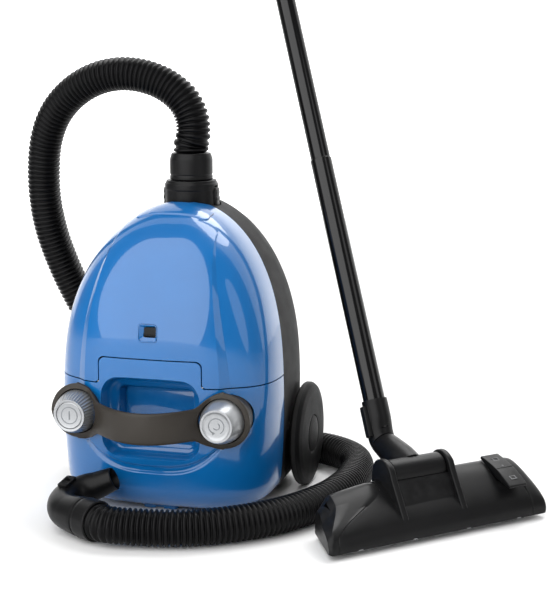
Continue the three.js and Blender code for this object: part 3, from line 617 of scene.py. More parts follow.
def above_seam(off):
    """Everything above the lid's seam, which steps up round the tab over the grip pocket."""
    low, high, x = SEAM_Z + off, TAB_Z + off, TAB_X + off
    turn = np.linspace(0, math.pi / 2, 7)
    arch = [(x - TAB_R + TAB_R * math.cos(a), high - TAB_R + TAB_R * math.sin(a)) for a in turn]
    foot = [(x + 5 * (1 - math.sin(a)), low + 5 * (1 - math.cos(a))) for a in turn]
    right = [(250, low), *foot, *arch]
    left = [(-a, b) for a, b in reversed(right)]
    return prism("above", [*right, *left, (-250, 420), (250, 420)], -300, 300, "Y")


def knob_bore(r, y0, y1, side):
    return revolve("bore", rod(r, y0, y1), 72, (side * KNOB_X, 0, KNOB_Z), "Y")


def inlet_bore(r, z0, z1):
    return revolve("bore", rod(r, z0, z1), 72, (0, INLET_Y, 0))


def pocket_outline(grow):
    p = POCKET
    return rounded_rect(-p["x"] - grow, p["x"] + grow, p["low"] - grow, p["high"] + grow,
        max(p["r"] + grow, 6), 8)


def pocket_cutter():
    """The grip pocket: a flared lip, a ledge, and a deeper recess inside it."""
    back = POCKET["back"]
    steps = [(-150, 7), (-101, 7), (-98, 4.5), (-95, 2.4), (-90, 0.8), (-84, 0), (-80, -1.2), (-77, -3.5),
        (-75, -7), (-73.5, -10), (-71, -12), (-66, -13), (back + 2, -14), (back, -17)]
    return loft("pocket", [[(x, y, z) for x, z in pocket_outline(grow)] for y, grow in steps])


def make_shells():
    form, cavity = body_form(), shrunk_form(WALL + 2)
    shell = combine(copy_of(form), cavity, keep=True)
    covers = combine(copy_of(shell), part_side(True, -0.5), "INTERSECT")
    lid = combine(copy_of(covers), above_seam(SEAM_GAP / 2), "INTERSECT")
    cover = combine(covers, above_seam(-SEAM_GAP / 2))
    combine(lid, inlet_bore(COLLAR_ROOM, 330, 420))
    combine(lid, prism("window", rounded_rect(-13.4, 11.6, 213.6, 235.4, 5), -110, -80, "Y"))
    combine(lid, prism("lip_room", rounded_rect(-46.5, 46.5, -14, 16.8, 6), 320, 390))
    liner = combine(prism("liner", pocket_outline(WALL), -160, POCKET["back"] + WALL, "Y"), form,
        "INTERSECT", True)
    combine(cover, liner, "UNION")
    combine(cover, pocket_cutter())
    combine(cover, block(-22, 22, -66, -38, 0.6, 8, 5), "UNION")
    combine(cover, transformed(revolve("eye", rod(7, 0, 9), 32, (0, 0, -1)),
        Matrix.Translation((0, -0.0645, 0)) @ Matrix.Diagonal((1, 0.35, 1, 1))))
    for side in (-1, 1):
        combine(cover, knob_bore(29.4, -110, -60, side))
    base = combine(shell, part_side(False, 0.5), "INTERSECT")
    for side in (-1, 1):
        def disc(r, x, thick):
            low, high = sorted((side * x, side * (x + thick)))
            return revolve("disc", rod(r, low, high), 72, (0, WHEEL_Y, WHEEL_Z), "X")
        wall = combine(combine(disc(WHEEL_R + 6, 128, 3), form, "INTERSECT", True), part_side(False, 0.5),
            "INTERSECT")
        combine(base, disc(WHEEL_R + 3, 131, 30))
        combine(base, wall, "UNION")
        combine(base, disc(9, 113, 18), "UNION")
        combine(base, disc(4.8, 116, 30))
    pad = combine(block(-70, 70, 6, 124, 0, 9, 14), block(-70, 70, -30, 7, 0, BOTTOM - 0.6, 10), "UNION")
    combine(base, pad, "UNION")
    combine(base, inlet_bore(COLLAR_ROOM, 346, 420))
    combine(base, inlet_bore(24.3, 300, 420))
    combine(base, block(-46, 46, 135, 155, 46, 114))
    combine(base, revolve("caster_hole", rod(24, 112, 152), 64, (0, 0, CASTER_Z), "Y"))
    drop(cavity)
    return form, lid, cover, base


def make_body():
    form, lid, cover, base = make_shells()
    present(bevelled(lid, 0.7), BLUE, "lid", ["dust_lid"], 10, "lid_shell")
    present(bevelled(cover, 0.7), BLUE, "canister", ["rear_cover"], 26, "rear_cover_shell")
    present(bevelled(base, 0.6), BASE_BLACK, "canister", ["base_shell"], name="base_moulding")
    lip = combine(moved(copy_of(form), 0, -1, 1.2), moved(copy_of(form), 0, 2, -2.4))
    combine(lip, prism("lip", rounded_rect(-46, 46, -13.4, 15.9, 6), 330, 380), "INTERSECT")
    foot = block(-9, 9, 4.5, 7.5, 340, 363.5)
    lip = joined("lid_latch_lip", [bevelled(lip, 0.8), foot])
    present(lip, BLUE, "lid_latch", ["lid_latch"])
    drop(form)
    make_window()


def make_window():
    """The bag-full window: a bevelled frame on the lid's skin with a dark lens low in it."""
    skin = combine(moved(body_form(), 0, -0.9, 0), moved(body_form(), 0, 2.6, 0))
    frame_ring = combine(copy_of(skin), prism("out", rounded_rect(-13, 11.2, 214, 235, 4.6), -110, -80,
        "Y"), "INTERSECT")
    rim, well = rounded_rect(-11.9, 10.5, 215.1, 233.9, 3.6), rounded_rect(-5.8, 10.1, 220.3, 231.7, 2.5)
    steps = [(-110, rim), (-96.6, rim), (-94.2, well), (-80, well)]
    combine(frame_ring, loft("hole", [[(x, y, z) for x, z in outline] for y, outline in steps]))
    present(bevelled(frame_ring, 0.4), BLUE, "lid", name="window_frame")
    lens = combine(moved(skin, 0, 2.4, 0), prism("lens", rounded_rect(-5.4, 9.9, 220.6, 231.4, 2.3), -110,
        -80, "Y"), "INTERSECT")
    present(bevelled(lens, 0.3), SMOKED, "lid", ["indicator_lens"], name="window_lens")


# ---- Handle and knobs ----
def make_handle():
    reach, thick = KNOB_X + EYE_R, 7.0
    columns = []
    for angle in np.linspace(0.02, math.pi - 0.02, 120):
        x = -reach * math.cos(angle)
        from_eye = abs(abs(x) - KNOB_X)
        eye = math.sqrt(EYE_R ** 2 - from_eye ** 2) if from_eye < EYE_R else 0
        share = min(1, abs(x) / KNOB_X)
        band = 19 + 8 * share ** 7 if abs(x) < KNOB_X else 0
        half = (eye ** 6 + band ** 6) ** (1 / 6)
        middle = KNOB_Z - 6.5 * (1 - share ** 2)
        y = EYE_Y - HANDLE_BOW * max(0, 1 - (x / (KNOB_X - 14)) ** 2) ** 1.15
        ring = []
        for a in np.arange(36) * 2 * math.pi / 36:
            up = math.copysign(abs(math.sin(a)) ** 0.22, math.sin(a)) if math.sin(a) else 0
            out = math.copysign(abs(math.cos(a)) ** 0.45, math.cos(a)) if math.cos(a) else 0
            crown = 0.8 * up ** 2 if out > 0 else 0
            ring.append((x, y + thick / 2 - out * thick / 2 + crown, middle + up * half))
        columns.append(ring)
    handle = loft("carry_band", columns)
    for side in (-1, 1):
        combine(handle, knob_bore(EYE_R - 4.6, EYE_Y + 2, -71, side), "UNION")
        combine(handle, knob_bore(27.6, -130, EYE_Y + 18, side))
        combine(handle, knob_bore(9, -90, -60, side))
    return present(bevelled(handle, 0.9, 3), BROWN, "canister", ["carry_handle"],
        name="carry_band")


def disc_on_face(name, profile, side, sides=96):
    return revolve(name, [(r, FACE_Y + d) for r, d in profile], sides, (side * KNOB_X, 0, KNOB_Z), "Y")


def knurled(piece, side, teeth, depth, from_r):
    """Cuts rounded teeth into a turned ring's outer flank."""
    centre = np.array((side * KNOB_X, 0, KNOB_Z)) * MM
    for v in piece.data.vertices:
        dx, dz = v.co.x - centre[0], v.co.z - centre[2]
        r = math.hypot(dx, dz)
        if r > from_r * MM:
            pull = depth * MM * (0.5 - 0.5 * math.cos(teeth * math.atan2(dz, dx))) ** 0.6
            v.co.x -= dx / r * pull
            v.co.z -= dz / r * pull
    return piece


def flat_mark(name, outline, side, depth=0.25):
    """A thin raised mark on a knob's face from an (x, z) outline about the knob's middle."""
    points = [(side * KNOB_X + x, KNOB_Z + z) for x, z in outline]
    return prism(name, points, FACE_Y - depth, FACE_Y + 0.4, "Y")


def ring_outline(r0, r1, start, end, steps=48):
    angles = np.radians(np.linspace(start, end, steps))
    outer = [(r1 * math.cos(a), r1 * math.sin(a)) for a in angles]
    inner = [(r0 * math.cos(a), r0 * math.sin(a)) for a in reversed(angles)]
    return outer + inner


def make_knobs():
    dome = [(19.5 + 7 * math.sin(t), 31 * (t / (math.pi / 2)) ** 1.15)
        for t in np.linspace(0, math.pi / 2, 16)]
    ring = disc_on_face("power_ring", [(16.6, 0.6), (18.4, 0), *dome, (16.6, 31), (16.6, 0.6)], -1, 320)
    ring = knurled(ring, -1, 40, 0.9, 19.8)
    present(ring, SILVER, "power_knob", ["power_knob"], 45)
    cap = disc_on_face("power_cap", [(0, 1.4), (12, 1.2), (15.2, 0.6), (16.2, 1.2), (16.2, 20), (5, 20),
        (5, 50), (0, 50)], -1)
    present(cap, SILVER, "power_button", ["power_button"])
    circle = disc_on_face("circle", [(9.5, 0.4), (9.5, -0.25), (10.6, -0.25), (10.6, 0.4), (9.5, 0.4)], -1)
    bar = flat_mark("bar", rounded_rect(-0.75, 0.75, -5.2, 5.2, 0.5, 3), -1)
    mark = moved(joined("power_mark", [circle, bar]), 0, 1.2, 0)
    present(mark, MARK, "power_button")
    rewind = disc_on_face("rewind_dome", [(0, 1.4), (13, 1.2), (16.4, 0.9), (17.2, 0.1), (18.6, 0), *dome,
        (5, 31), (5, 48), (0, 48)], 1)
    present(rewind, SILVER, "rewind_button", ["rewind_button"], 40)
    loop = flat_mark("loop", ring_outline(8.8, 9.8, -60, 240), 1)
    hook = flat_mark("hook", ring_outline(3.6, 4.5, -150, 60, 24), 1)
    arrow = flat_mark("arrow", [(-4.6, -10.8), (-1.6, -8.1), (-5.4, -6.6)], 1)
    mark = moved(joined("rewind_mark", [loop, hook, arrow]), 0, 1.1, 0)
    present(mark, MARK, "rewind_button")


# ---- Wheels and caster ----
def make_wheels():
    for name, side in (("left", -1), ("right", 1)):
        w = WHEEL_OUT - WHEEL_IN
        outline = [(5, 0), (WHEEL_R - 4, 0), (WHEEL_R, 2.6), (WHEEL_R, w - 7), (WHEEL_R - 3, w - 3.4),
            (WHEEL_R - 12, w - 1.6), (42, w - 0.9), (30, w - 0.7), (25, w - 1.1), (24.2, w - 1.6),
            (24, w - 3.5), (5, w - 3.5), (5, 0)]
        profile = [outline[0], *rounded_profile(outline[:-1], 1.6)[1:], outline[0]]
        profile = [(r, side * (WHEEL_IN + h)) for r, h in profile]
        wheel = revolve(f"wheel_{name}_rim", profile, 128, (0, WHEEL_Y, WHEEL_Z), "X")
        present(wheel, BASE_BLACK, f"wheel_{name}", [f"wheel_{name}"], 28)
        tread = [(WHEEL_R - 1, 3.2), (WHEEL_R + 0.25, 3.8), (WHEEL_R + 0.25, 8.4), (WHEEL_R - 1, 9),
            (WHEEL_R - 1, 3.2)]
        band = revolve(f"wheel_{name}_tread", [(r, side * (WHEEL_IN + h)) for r, h in tread], 128,
            (0, WHEEL_Y, WHEEL_Z), "X")
        present(band, RUBBER, f"wheel_{name}")
        cap = rounded_profile([(0, 0), (23.5, 0), (22.8, 2.2), (15, 3.1), (0, 3.6)], 0.8)
        cap = [(r, side * (WHEEL_OUT - 3.1 + h)) for r, h in cap]
        hub = revolve(f"wheel_{name}_cap", cap, 96, (0, WHEEL_Y, WHEEL_Z), "X")
        present(hub, BASE_BLACK, f"wheel_{name}", [f"hub_cap_{name}"])


def turned_y(name, profile, at, sides=64):
    return revolve(name, profile, sides, at, "Y")


def make_caster():
    z, axle = CASTER_Z, CASTER_AXLE_Z
    cup = closed_profile([(8, 123.5), (23.6, 123.5), (23.6, 136.5), (18.5, 136.5), (18.5, 126.5),
        (8, 126.5)], 0.6)
    present(turned_y("caster_cup", cup, (0, 0, z)), BASE_BLACK, "canister", ["caster_housing"])
    plate = turned_y("plate", rounded_profile(rod(17.6, 127.7, 140), 1.2), (0, 0, z))
    stem = turned_y("stem", rod(7.4, 120.5, 132.5), (0, 0, z))
    fork = combine(plate, stem, "UNION")
    for side in (-1, 1):
        arm = prism("arm", rounded_rect(139.4, 156.5, axle - 5, z + 8, 4, 5), side * 12 - 2, side * 12 + 2,
            "X")
        combine(fork, arm, "UNION")
    at = (0, CASTER_AXLE_Y, axle)
    combine(fork, revolve("hole", rod(2.5, -30, 30), 24, at, "X"))
    present(bevelled(fork, 0.5), SATIN_BLACK, "caster_fork", ["caster_fork"],
        name="caster_yoke")
    wheel = revolve("caster_tyre", closed_profile([(2.7, -9), (10.5, -9), (10.5, 9), (2.7, 9)], 1.6), 48,
        at, "X")
    present(wheel, RUBBER, "caster_wheel", ["caster_wheel"])
    pin = revolve("caster_axle", rounded_profile(rod(2.1, -14, 14), 0.5), 24, at, "X")
    present(pin, STEEL, "caster_fork", ["caster_pin"])


# ---- Inlet, collar and cuff ----
def turned_z(name, profile, at, sides=96):
    return revolve(name, profile, sides, at)


def closed_profile(points, radius):
    """A closed outline with its corners rounded."""
    rounded = rounded_profile([*points, points[0], points[1]], radius)[1:-1]
    return [*rounded, rounded[0]]


def make_inlet():
    at = (0, INLET_Y, 0)
    present(turned_z("inlet_ring", closed_profile([(20.4, 322), (24, 322), (24, 346.6), (36.2, 346.6),
        (36.2, 349.6), (20.4, 349.6)], 0.6), at), BASE_BLACK, "canister", ["inlet_socket"])
    present(turned_z("inlet_lip_seal", closed_profile([(17.6, 328), (20, 328), (20, 333), (17.6, 333)],
        1.0), at), RUBBER, "canister", ["inlet_seal"])
    outline = [(17, 334), (19.8, 334), (19.8, 352), (33.6, 352), (33.6, 357), (33, 358), (33, 379),
        (33.6, 380), (33.6, 386.5), (32, 388.5), (31.4, 391), (17, 391)]
    collar = turned_z("hose_collar_ring", closed_profile(outline, 0.9), at)
    for side in (-1, 1):
        combine(collar, moved(block(side * 32 - 5, side * 32 + 5, -6.8, 6.8, 354.5, 384.5, 1.5), 0, INLET_Y,
            0))
    present(bevelled(collar, 0.4), SATIN_BLACK, "canister", ["hose_collar"],
        name="hose_collar_ring")
    for name, side in (("left", -1), ("right", 1)):
        steps = [(29.4, 356), (34.6, 356), (35.8, 359), (35.8, 362), (35, 363), (35, 366), (35.8, 367),
            (35.8, 370), (35, 371), (35, 374), (35.6, 375), (34.8, 381), (33, 382.2), (29.4, 382.2)]
        tab = prism("tab", [(side * x, z) for x, z in steps], INLET_Y - 6.1, INLET_Y + 6.1, "Y")
        present(bevelled(tab, 0.5), SATIN_BLACK, f"latch_{name}", [f"collar_latch_{name}"],
                name=f"collar_tab_{name}")
    cuff = [(18, 391.4), (26.2, 391.4), (27, 392.6), (27, 396), (26.4, 397), (26.4, 398), (27, 399),
        (27, 417), (25.8, 421), (24.6, 424.6), (18, 424.6)]
    present(turned_z("hose_cuff_ring", closed_profile(cuff, 0.7), at), SATIN_BLACK, "cuff",
        ["hose_cuff"])


# ---- Hose and grip ----
GRIP_START, GRIP_HEADING, GRIP_STRAIGHT = np.array((-25, -199, 24.2)), 155, 48
GRIP_BEND, GRIP_FINAL, GRIP_END, GRIP_RISE, SLIDER_LIFT = 31, 8, 22, 26, 19.3
HOSE_FROM_GRIP = (-14, 6)


def heading(degrees):
    a = math.radians(degrees)
    return np.array((math.cos(a), math.sin(a), 0))


# The hose rises from the cuff, bends left, falls behind the body and comes round its right side.
HOSE_ROUTE = [(0, 64, 425.6), (0, 64, 434), (3, 64, 447), (1, 65, 469), (-11, 66, 491), (-35, 67, 509),
    (-66, 68, 519.5), (-99, 69, 521.5), (-132, 71, 514), (-163, 74, 497), (-189, 78, 471), (-206, 84, 438),
    (-214, 90, 400), (-217, 98, 358), (-215, 110, 315), (-207, 124, 272), (-194, 138, 229),
    (-176, 151, 186), (-153, 161, 142), (-124, 170, 100), (-88, 176, 62), (-44, 180, 35), (6, 183, 22.5),
    (58, 186, 21.4), (110, 184, 21.4), (158, 170, 21.4), (195, 138, 21.4), (211, 94, 21.4), (214, 52, 21.4),
    (212, 12, 21.4), (203, -35, 21.4), (184, -82, 21.4), (155, -126, 21.4), (116, -162, 21.4),
    (72, -187, 21.6), (28, -199, 22.4)]
RIB_PITCH, RIB_TOP, RIB_ROOT = 6.2, 21.2, 18.3
RIB_SHAPE = [(0.0, 0.0), (0.12, 0.1), (0.26, 0.75), (0.4, 1.0), (0.6, 1.0), (0.74, 0.75), (0.88, 0.1)]


def grip_line():
    """The grip's middle line: straight out of the hose, round a bend that rises, and on to the open end."""
    turned = [GRIP_START + heading(GRIP_HEADING) * run for run in (0, 20, GRIP_STRAIGHT)]
    centre = turned[-1] + heading(GRIP_HEADING - 90) * GRIP_BEND
    for share in np.arange(1, 9) / 8:
        here = centre - heading(GRIP_HEADING - (GRIP_HEADING - GRIP_FINAL) * share - 90) * GRIP_BEND
        here[2] = GRIP_START[2] + GRIP_RISE * 0.62 * share ** 1.4
        turned.append(here)
    last = turned[-1]
    for share in (0.35, 0.7, 1):
        turned.append(last + heading(GRIP_FINAL) * GRIP_END * share + (0, 0, GRIP_RISE * 0.38 * share))
    return turned


def make_hose():
    route = HOSE_ROUTE + [tuple(GRIP_START + heading(GRIP_HEADING) * run) for run in HOSE_FROM_GRIP]
    line = centripetal(route, 1200)
    length = length_of(line)
    run = np.linspace(0, length, len(line))
    ribs = int(length / RIB_PITCH)
    at, radii = [], []
    for i in range(ribs):
        start = i * length / ribs
        swell = 1.0 * max(0, 1 - start / 70)
        for share, height in RIB_SHAPE:
            at.append(start + share * length / ribs)
            radii.append(RIB_ROOT + swell + (RIB_TOP - RIB_ROOT) * height)
    at.append(length)
    radii.append(RIB_ROOT)
    path = np.stack([np.interp(at, run, line[:, k]) for k in range(3)], 1)
    hose = sweep("ribbed_hose", path, radii, 30)
    present(hose, HOSE_BLACK, "canister", ["hose"], 50)
    return hose, centripetal(route, 260) * MM, length * MM


# [share of the grip's line, radius]: socket ring, bend, step, open end
GRIP_SIZES = [(0, 22.6), (0.004, 23.8), (0.012, 24), (0.12, 24), (0.136, 23.6), (0.141, 22.2),
    (0.158, 22.1), (0.163, 23), (0.19, 22.9), (0.34, 20.4), (0.47, 19), (0.6, 18.4), (0.74, 17.5),
    (0.8, 17), (0.86, 16.2), (0.93, 15), (0.985, 14.2), (0.996, 13.9), (1, 13.4)]


def make_grip():
    points = grip_line()
    line = centripetal(points, 400)
    marks = sorted({*np.linspace(0, 1, 70), *[s for s, _ in GRIP_SIZES]})
    places = np.linspace(0, 1, len(line))
    path = np.stack([np.interp(marks, places, line[:, k]) for k in range(3)], 1)
    radii = np.interp(marks, *zip(*GRIP_SIZES))
    grip = sweep("bent_grip", path, radii, 56)
    into = (path[1] - path[0]) / np.linalg.norm(path[1] - path[0])
    start = path[0] - into * 3
    combine(grip, sweep("socket", np.array([start, start + into * 34]), [21.6, 21.6], 48))
    out = (path[-1] - path[-2]) / np.linalg.norm(path[-1] - path[-2])
    combine(grip, sweep("bore", np.array([path[-1] + out * 3, path[-1] - out * 18]), [12.5, 12.3], 40))
    present(bevelled(grip, 0.35), SATIN_BLACK, "grip", ["hose_grip"], 30, name="bent_grip")
    slide = Vector(points[7] - points[5]).normalized()
    up = (Vector((0, 0, 1)) - slide * slide.z).normalized()
    axes = Matrix((slide, up.cross(slide), up)).transposed().to_4x4()
    axes.translation = (Vector(points[6]) + Vector((0, 0, SLIDER_LIFT))) * MM
    plate = block(-12, 12, -6.5, 6.5, -0.6, 2.6, 2.5)
    for i in range(5):
        combine(plate, block(-5 + i * 2.2, -4 + i * 2.2, -4.6, 4.6, 2.1, 4))
    slider = transformed(bevelled(plate, 0.4), axes)
    present(slider, BASE_BLACK, "suction_slider", ["suction_slider"], name="suction_shutter")
    return [bpy.data.objects["bent_grip"], bpy.data.objects["suction_shutter"]]


# ---- Floor tool ----
TOOL_FRAME = Matrix.Translation(TOOL_AT * MM) @ Matrix.Rotation(math.radians(TOOL_YAW), 4, "Z")
NECK_FRAME = TOOL_FRAME @ Matrix.Translation(NECK_AT * MM)
TOP_LINE = [(-39, 9), (-38.5, 16), (-35, 25), (-28, 33), (-10, 47), (8, 58), (20, 61.5), (31, 57), (38, 45),
    (39, 25), (39, 9)]
# [place along the tool, share of the height, how far the rear corner is drawn in]
TOOL_SHAPE = [(-154, 0.6, 26), (-147, 0.8, 24), (-125, 0.88, 14), (-60, 1, 0), (60, 1.04, 0),
    (118, 1.03, -4), (143, 1.0, -7), (150, 0.93, -9), (154, 0.82, -10)]
PEDAL_AT, PEDAL_SLOPE, PEDAL_TILT = Vector((110, -7, 55.5)), 27.0, 5.0
DRUM_R, DRUM_HALF = 17.0, 37.0
FACET_LEFT, FACET_RIGHT = NECK_AT.x - DRUM_HALF, NECK_AT.x + DRUM_HALF
PARTING_X, PARTING_SWEEP, END_SEAM_X = -142.0, 82.0, 131.0


def tool_rings():
    """Sections along the tool; a groove sweeps from its left front corner to the neck's housing."""
    top = centripetal([(y, z, 0) for y, z in TOP_LINE], 60)[:, :2]
    outline = np.concatenate([[(-36.5, 5), (-38.4, 6.2)], top, [(38.4, 6.2), (36.5, 5)]])
    xs, shares, skews = centripetal([(x, share * 100, skew) for x, share, skew in TOOL_SHAPE], 200).T
    grooves = [c + d for c in (PARTING_X, END_SEAM_X) for d in (-1.1, -0.6, 0, 0.6, 1.1)]
    rings, half = [], TOOL_LENGTH / 2
    for station in sorted([*np.linspace(-half, half, 100), *grooves]):
        cut = min(abs(station - PARTING_X), abs(station - END_SEAM_X)) < 0.7
        ring = []
        for y, z in outline:
            swept = PARTING_SWEEP * smoothstep(-37, 6, y)
            x = np.interp(station, [-half, PARTING_X, -45, half],
                [-half, PARTING_X + swept, max(-45, PARTING_X + swept + 12), half])
            height = 5 + (z - 5) * np.interp(x, xs, shares) / 100
            end = max(0.0, abs(x) - 149.5) / 4.5
            pull = 3.4 * (1 - math.sqrt(max(0.0, 1 - end ** 2))) + (0.9 if cut and z > 8 else 0)
            away = (Vector((y, height)) - Vector((0, 26))).normalized() * pull
            ring.append((x + np.interp(x, xs, skews) * (y + TOOL_DEPTH / 2) / TOOL_DEPTH, y - away.x,
                max(5, height - away.y)))
        rings.append(ring)
    return rings


def smooth_outline(points, count=48):
    line = centripetal([(a, b, 0) for a, b in points], count)[:, :2]
    return [tuple(p) for p in line]


def make_tool():
    body = loft("tool_body", tool_rings())
    facet = prism("facet", [(-21, 30), (-20, 40), (-7, 62), (-4, 66), (12, 66), (12, 30)], FACET_LEFT - 1,
        FACET_RIGHT + 1, "X")
    combine(body, facet, "UNION")
    cheek_top = smooth_outline([(-33, 30), (-21, 50), (-9, 70), (-4, 80), (4, 86), (14, 88.5), (24, 86),
        (31, 79), (34, 66)])
    cheek = [(34, 22), (-34, 22), *cheek_top]
    combine(body, bevelled(prism("cheek", cheek, FACET_LEFT - 8.6, FACET_LEFT - 0.6, "X"), 2.0, 3), "UNION")
    combine(body, bevelled(prism("cheek", cheek, FACET_RIGHT + 0.6, FACET_RIGHT + 8.6, "X"), 2.0, 3), "UNION")
    room = rod(DRUM_R + 0.8, FACET_LEFT - 0.6, FACET_RIGHT + 0.6)
    combine(body, revolve("drum_room", room, 64, (0, 14, 69), "X"))
    combine(body, block(FACET_LEFT - 0.6, FACET_RIGHT + 0.6, 8, 60, 44, 110))
    hollow = [(-31, -1), (-31, 16), (-26, 26), (-6, 40), (18, 48), (18, -1)]
    combine(body, prism("hollow", hollow, -128, 132, "X"))
    pedal_turn = Matrix.Translation(PEDAL_AT * MM) @ Matrix.Rotation(math.radians(PEDAL_SLOPE), 4, "X")
    combine(body, transformed(block(-14, 14, -32.4, 32.4, -7.5, 40, 4), pedal_turn))
    for x in (-112, -38, 38, 112):
        combine(body, moved(prism("notch", [(-5, -2), (5, -2), (4, 7.2), (-4, 7.2)], -50, -31, "Y"), x))
    for x in (-95, 95):
        combine(body, block(x - 9, x + 9, 20.6, 60, -1, 17))
        combine(body, revolve("pin_hole", rod(2.1, x - 16, x + 16), 20, (0, 30, 8), "X"))
    body = transformed(bevelled(body, 0.7), TOOL_FRAME)
    present(body, SATIN_BLACK, "floor_tool", ["tool_housing"], 34, name="tool_body")
    sole = block(-127, 127, -30.4, 17.4, 1.2, 5, 4)
    combine(sole, block(-110, 110, -9, 4, -5, 10, 3))
    for y in (-24.6, 7.4):
        combine(sole, block(-116, 116, y - 0.6, y + 5.8, -5, 10, 1))
    present(transformed(bevelled(sole, 0.5), TOOL_FRAME), STEEL, "floor_tool", ["soleplate"],
        name="tool_sole")
    for name, y in (("front", -22.0), ("rear", 10.0)):
        present(transformed(brush_strip(y), TOOL_FRAME), BRISTLE, "brushes",
            [f"brush_strip_{name}"], name=f"brush_{name}")
    for name, x in (("left", -95), ("right", 95)):
        roll = closed_profile([(2.2, x - 8), (8, x - 8), (8, x + 8), (2.2, x + 8)], 1.2)
        present(transformed(revolve("roll", roll, 48, (0, 30, 8), "X"), TOOL_FRAME), RUBBER,
            f"tool_roller_{name}", [f"tool_roller_{name}"], name=f"tool_roll_{name}")
        pin = rounded_profile(rod(1.7, x - 15.5, x + 15.5), 0.4)
        present(transformed(revolve("pin", pin, 24, (0, 30, 8), "X"), TOOL_FRAME), STEEL, "floor_tool",
            [f"tool_roller_pin_{name}"], name=f"tool_pin_{name}")
    make_pedal()


def brush_strip(y):
    """A strip of bristle tufts on a backing bar."""
    tufts = [block(-115, 115, y - 2.3, y + 2.3, 6, 9)]
    random = np.random.default_rng(7)
    for x in np.arange(-114, 114.5, 2.4):
        lean = random.uniform(-0.35, 0.35, 4)
        rings = [[(x + lean[k] * (h - 6) * -0.3 + r * math.cos(a),
            y + lean[k + 1] * 0.6 + 1.7 * r * math.sin(a), h) for a in np.arange(7) * 2 * math.pi / 7]
            for k, (h, r) in enumerate([(6.5, 0.9), (4.2, 1.05), (2.7, 0.95)])]
        tufts.append(loft("tuft", rings))
    return joined("strip", tufts)


def make_pedal():
    turn = Matrix.Translation(PEDAL_AT * MM) @ Matrix.Rotation(math.radians(PEDAL_SLOPE - PEDAL_TILT), 4, "X")
    crown = smooth_outline([(-31, 2.6), (-15.5, 4.9), (0, 5.9), (15.5, 4.9), (31, 2.6)], 24)
    outline = [*crown, (31, -1), (5, -4), (-5, -4), (-31, -1)]
    pedal = bevelled(prism("pedal", outline, -13, 13, "X"), 1.2, 3)
    combine(pedal, block(-11.5, 11.5, -0.5, 0.5, 5.4, 8))
    present(transformed(pedal, TOOL_FRAME @ turn), SATIN_BLACK, "pedal", ["tool_pedal"],
        name="tool_pedal_plate")
    marks = []
    for y0 in (-18, 18):
        low = 5.9 - 3.3 * (abs(y0) / 31) ** 1.7
        for dx, dy, lx, ly in ((0, -2.6, 9, 1.2), (0, 2.6, 9, 0.8), (-3.6, 0, 1.2, 4.4), (3.6, 0, 1.2, 4.4)):
            marks.append(block(dx - lx / 2, dx + lx / 2, y0 + dy - ly / 2, y0 + dy + ly / 2, low - 1,
                low + 0.35))
    marks.append(revolve("dot", rod(1.3, 2, 6.1), 20, (0, 4, 0)))
    present(transformed(joined("pedal_marks", marks), TOOL_FRAME @ turn), FLOOR_MARK, "pedal",
        name="pedal_marks")


# ---- Neck and wand, about the drum's middle ----
def leaned(degrees):
    a = math.radians(degrees)
    return Vector((0, math.sin(a), math.cos(a)))


def lean_frame(degrees, start):
    return NECK_FRAME @ Matrix.Translation(Vector(start) * MM) @ Matrix.Rotation(-math.radians(degrees), 4,
        "X")


def lean_ring(centre, degrees, r, sides=64):
    return ring_points(centre, (1, 0, 0), leaned(degrees + 90), r, sides=sides)


SEAM_AT = leaned(ELBOW_LEAN) * ELBOW_LENGTH
TUBE_SEAT = SEAM_AT + leaned(WAND_LEAN) * (SLEEVE_LENGTH - IN_SLEEVE)


def bent_cone(name, stations, count=28):
    """A smooth round neck through (centre, lean, radius) stations."""
    rows = [(*c, lean, r) for c, lean, r in stations]
    at = np.linspace(0, len(rows) - 1, count)
    rows = np.array(rows)
    smooth = [np.interp(at, np.arange(len(rows)), rows[:, k]) for k in range(rows.shape[1])]
    for k in range(rows.shape[1]):
        for _ in range(6):
            smooth[k][1:-1] = (smooth[k][:-2] + 2 * smooth[k][1:-1] + smooth[k][2:]) / 4
    return loft(name, [lean_ring((x, y, z), lean, r) for x, y, z, lean, r in zip(*smooth)])


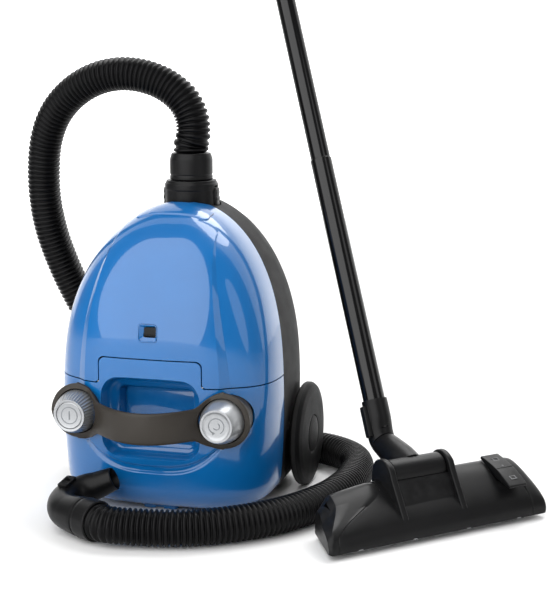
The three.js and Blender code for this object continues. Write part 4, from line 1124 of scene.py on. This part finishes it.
def make_neck():
    drum = revolve("drum", rounded_profile([(0, -DRUM_HALF), (DRUM_R - 2, -DRUM_HALF),
        (DRUM_R, -DRUM_HALF + 2), (DRUM_R, DRUM_HALF - 2), (DRUM_R - 2, DRUM_HALF), (0, DRUM_HALF)], 1), 96,
        (0, 0, 0), "X")
    e = leaned(ELBOW_LEAN)
    cone = bent_cone("cone", [(e * 6, 73, 18), (e * 26, 72, 18.6), (e * 46, 66, 17.2),
        (SEAM_AT - leaned(SWIVEL_LEAN) * 0.5, SWIVEL_LEAN, SLEEVE_R)])
    elbow = combine(drum, cone, "UNION")
    bore = transformed(revolve("bore", rod(11, 0, 80), 32),
        Matrix.Rotation(-math.radians(ELBOW_LEAN), 4, "X"))
    combine(elbow, bore)
    present(transformed(bevelled(elbow, 0.5), NECK_FRAME), SATIN_BLACK, "elbow",
        ["neck_elbow"], name="neck_knuckle")
    top = SEAM_AT + leaned(WAND_LEAN) * SLEEVE_LENGTH
    sleeve = bent_cone("sleeve", [(SEAM_AT + leaned(SWIVEL_LEAN) * 0.5, SWIVEL_LEAN, SLEEVE_R),
        (SEAM_AT + leaned(48) * 6, 40, SLEEVE_R + 0.2), (SEAM_AT + leaned(35) * 14, 27, SLEEVE_R + 0.1),
        (SEAM_AT.lerp(top, 0.55), 24, SLEEVE_R), (top, WAND_LEAN, SLEEVE_R)], 36)
    hook = block(-SLEEVE_R - 5, -SLEEVE_R + 2, -4.6, 4.6, 8, 46)
    hook = transformed(bevelled(hook, 1.4, 3), Matrix.Translation(SEAM_AT
        * MM) @ Matrix.Rotation(-math.radians(WAND_LEAN), 4, "X"))
    combine(sleeve, hook, "UNION")

    def bored(r, deep, lean, start):
        tool = revolve("bore", rod(r, 0, deep), 48)
        return transformed(tool, Matrix.Translation(start * MM) @ Matrix.Rotation(-math.radians(lean), 4,
            "X"))
    combine(sleeve, bored(LOWER_R + 0.3, 100, WAND_LEAN, TUBE_SEAT))
    combine(sleeve, bored(11, 100, WAND_LEAN, SEAM_AT - leaned(WAND_LEAN) * 2))
    combine(sleeve, bored(11, 12, SWIVEL_LEAN, SEAM_AT - leaned(SWIVEL_LEAN) * 4))
    present(transformed(bevelled(sleeve, 0.6), NECK_FRAME), SATIN_BLACK, "sleeve",
        ["neck_sleeve"], name="neck_socket")


def make_wand():
    lower_from = TUBE_SEAT + leaned(WAND_LEAN) * 0.4
    upper_from = lower_from + leaned(WAND_LEAN) * (LOWER_LENGTH - OVERLAP)
    r, b, n = LOWER_R, LOWER_BORE, LOWER_LENGTH
    lower = closed_profile([(b, 0), (r, 0), (r, n - 5), (r + 0.05, n - 4), (r + 0.05, n - 1), (r - 0.3, n),
        (b, n)], 0.3)
    tube = transformed(revolve("wand_lower", lower, 72), lean_frame(WAND_LEAN, lower_from))
    present(tube, GLOSS_BLACK, "sleeve", ["lower_tube"])
    r, b, n = UPPER_R, UPPER_BORE, UPPER_LENGTH
    upper = closed_profile([(b, 0), (r, 0), (r, n - 1), (r - 0.4, n), (b, n)], 0.3)
    tube = transformed(revolve("wand_upper", upper, 72), lean_frame(WAND_LEAN, upper_from))
    present(tube, GLOSS_BLACK, "upper_tube", ["upper_tube"])


# ---- Inside and back ----
def make_inside():
    """CAD pieces whose shape is right keep it and take a finer material."""
    finishes = {"black_matte": BASE_BLACK, "grey_plastic": GREY, "white_plastic": WHITE, "copper": COPPER,
        "steel": STEEL, "rubber": RUBBER, "filter_white": FLEECE, "silver": SILVER,
        "black_gloss": GLOSS_BLACK, "blue_gloss": BLUE, "handle_brown": BROWN, "hose_black": HOSE_BLACK,
        "smoked": SMOKED}
    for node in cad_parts.values():
        for i, slot in enumerate(node.data.materials):
            for key, finish in finishes.items():
                if slot and slot.name.split(".")[0] == key:
                    node.data.materials[i] = finish


def main():
    make_camera()
    hose, path, length = make_hose()
    ends = make_grip()
    make_stage()
    make_body()
    make_handle()
    make_knobs()
    make_wheels()
    make_caster()
    make_inlet()
    make_tool()
    make_neck()
    make_wand()
    make_inside()


main()
bpy.context.view_layer.update()
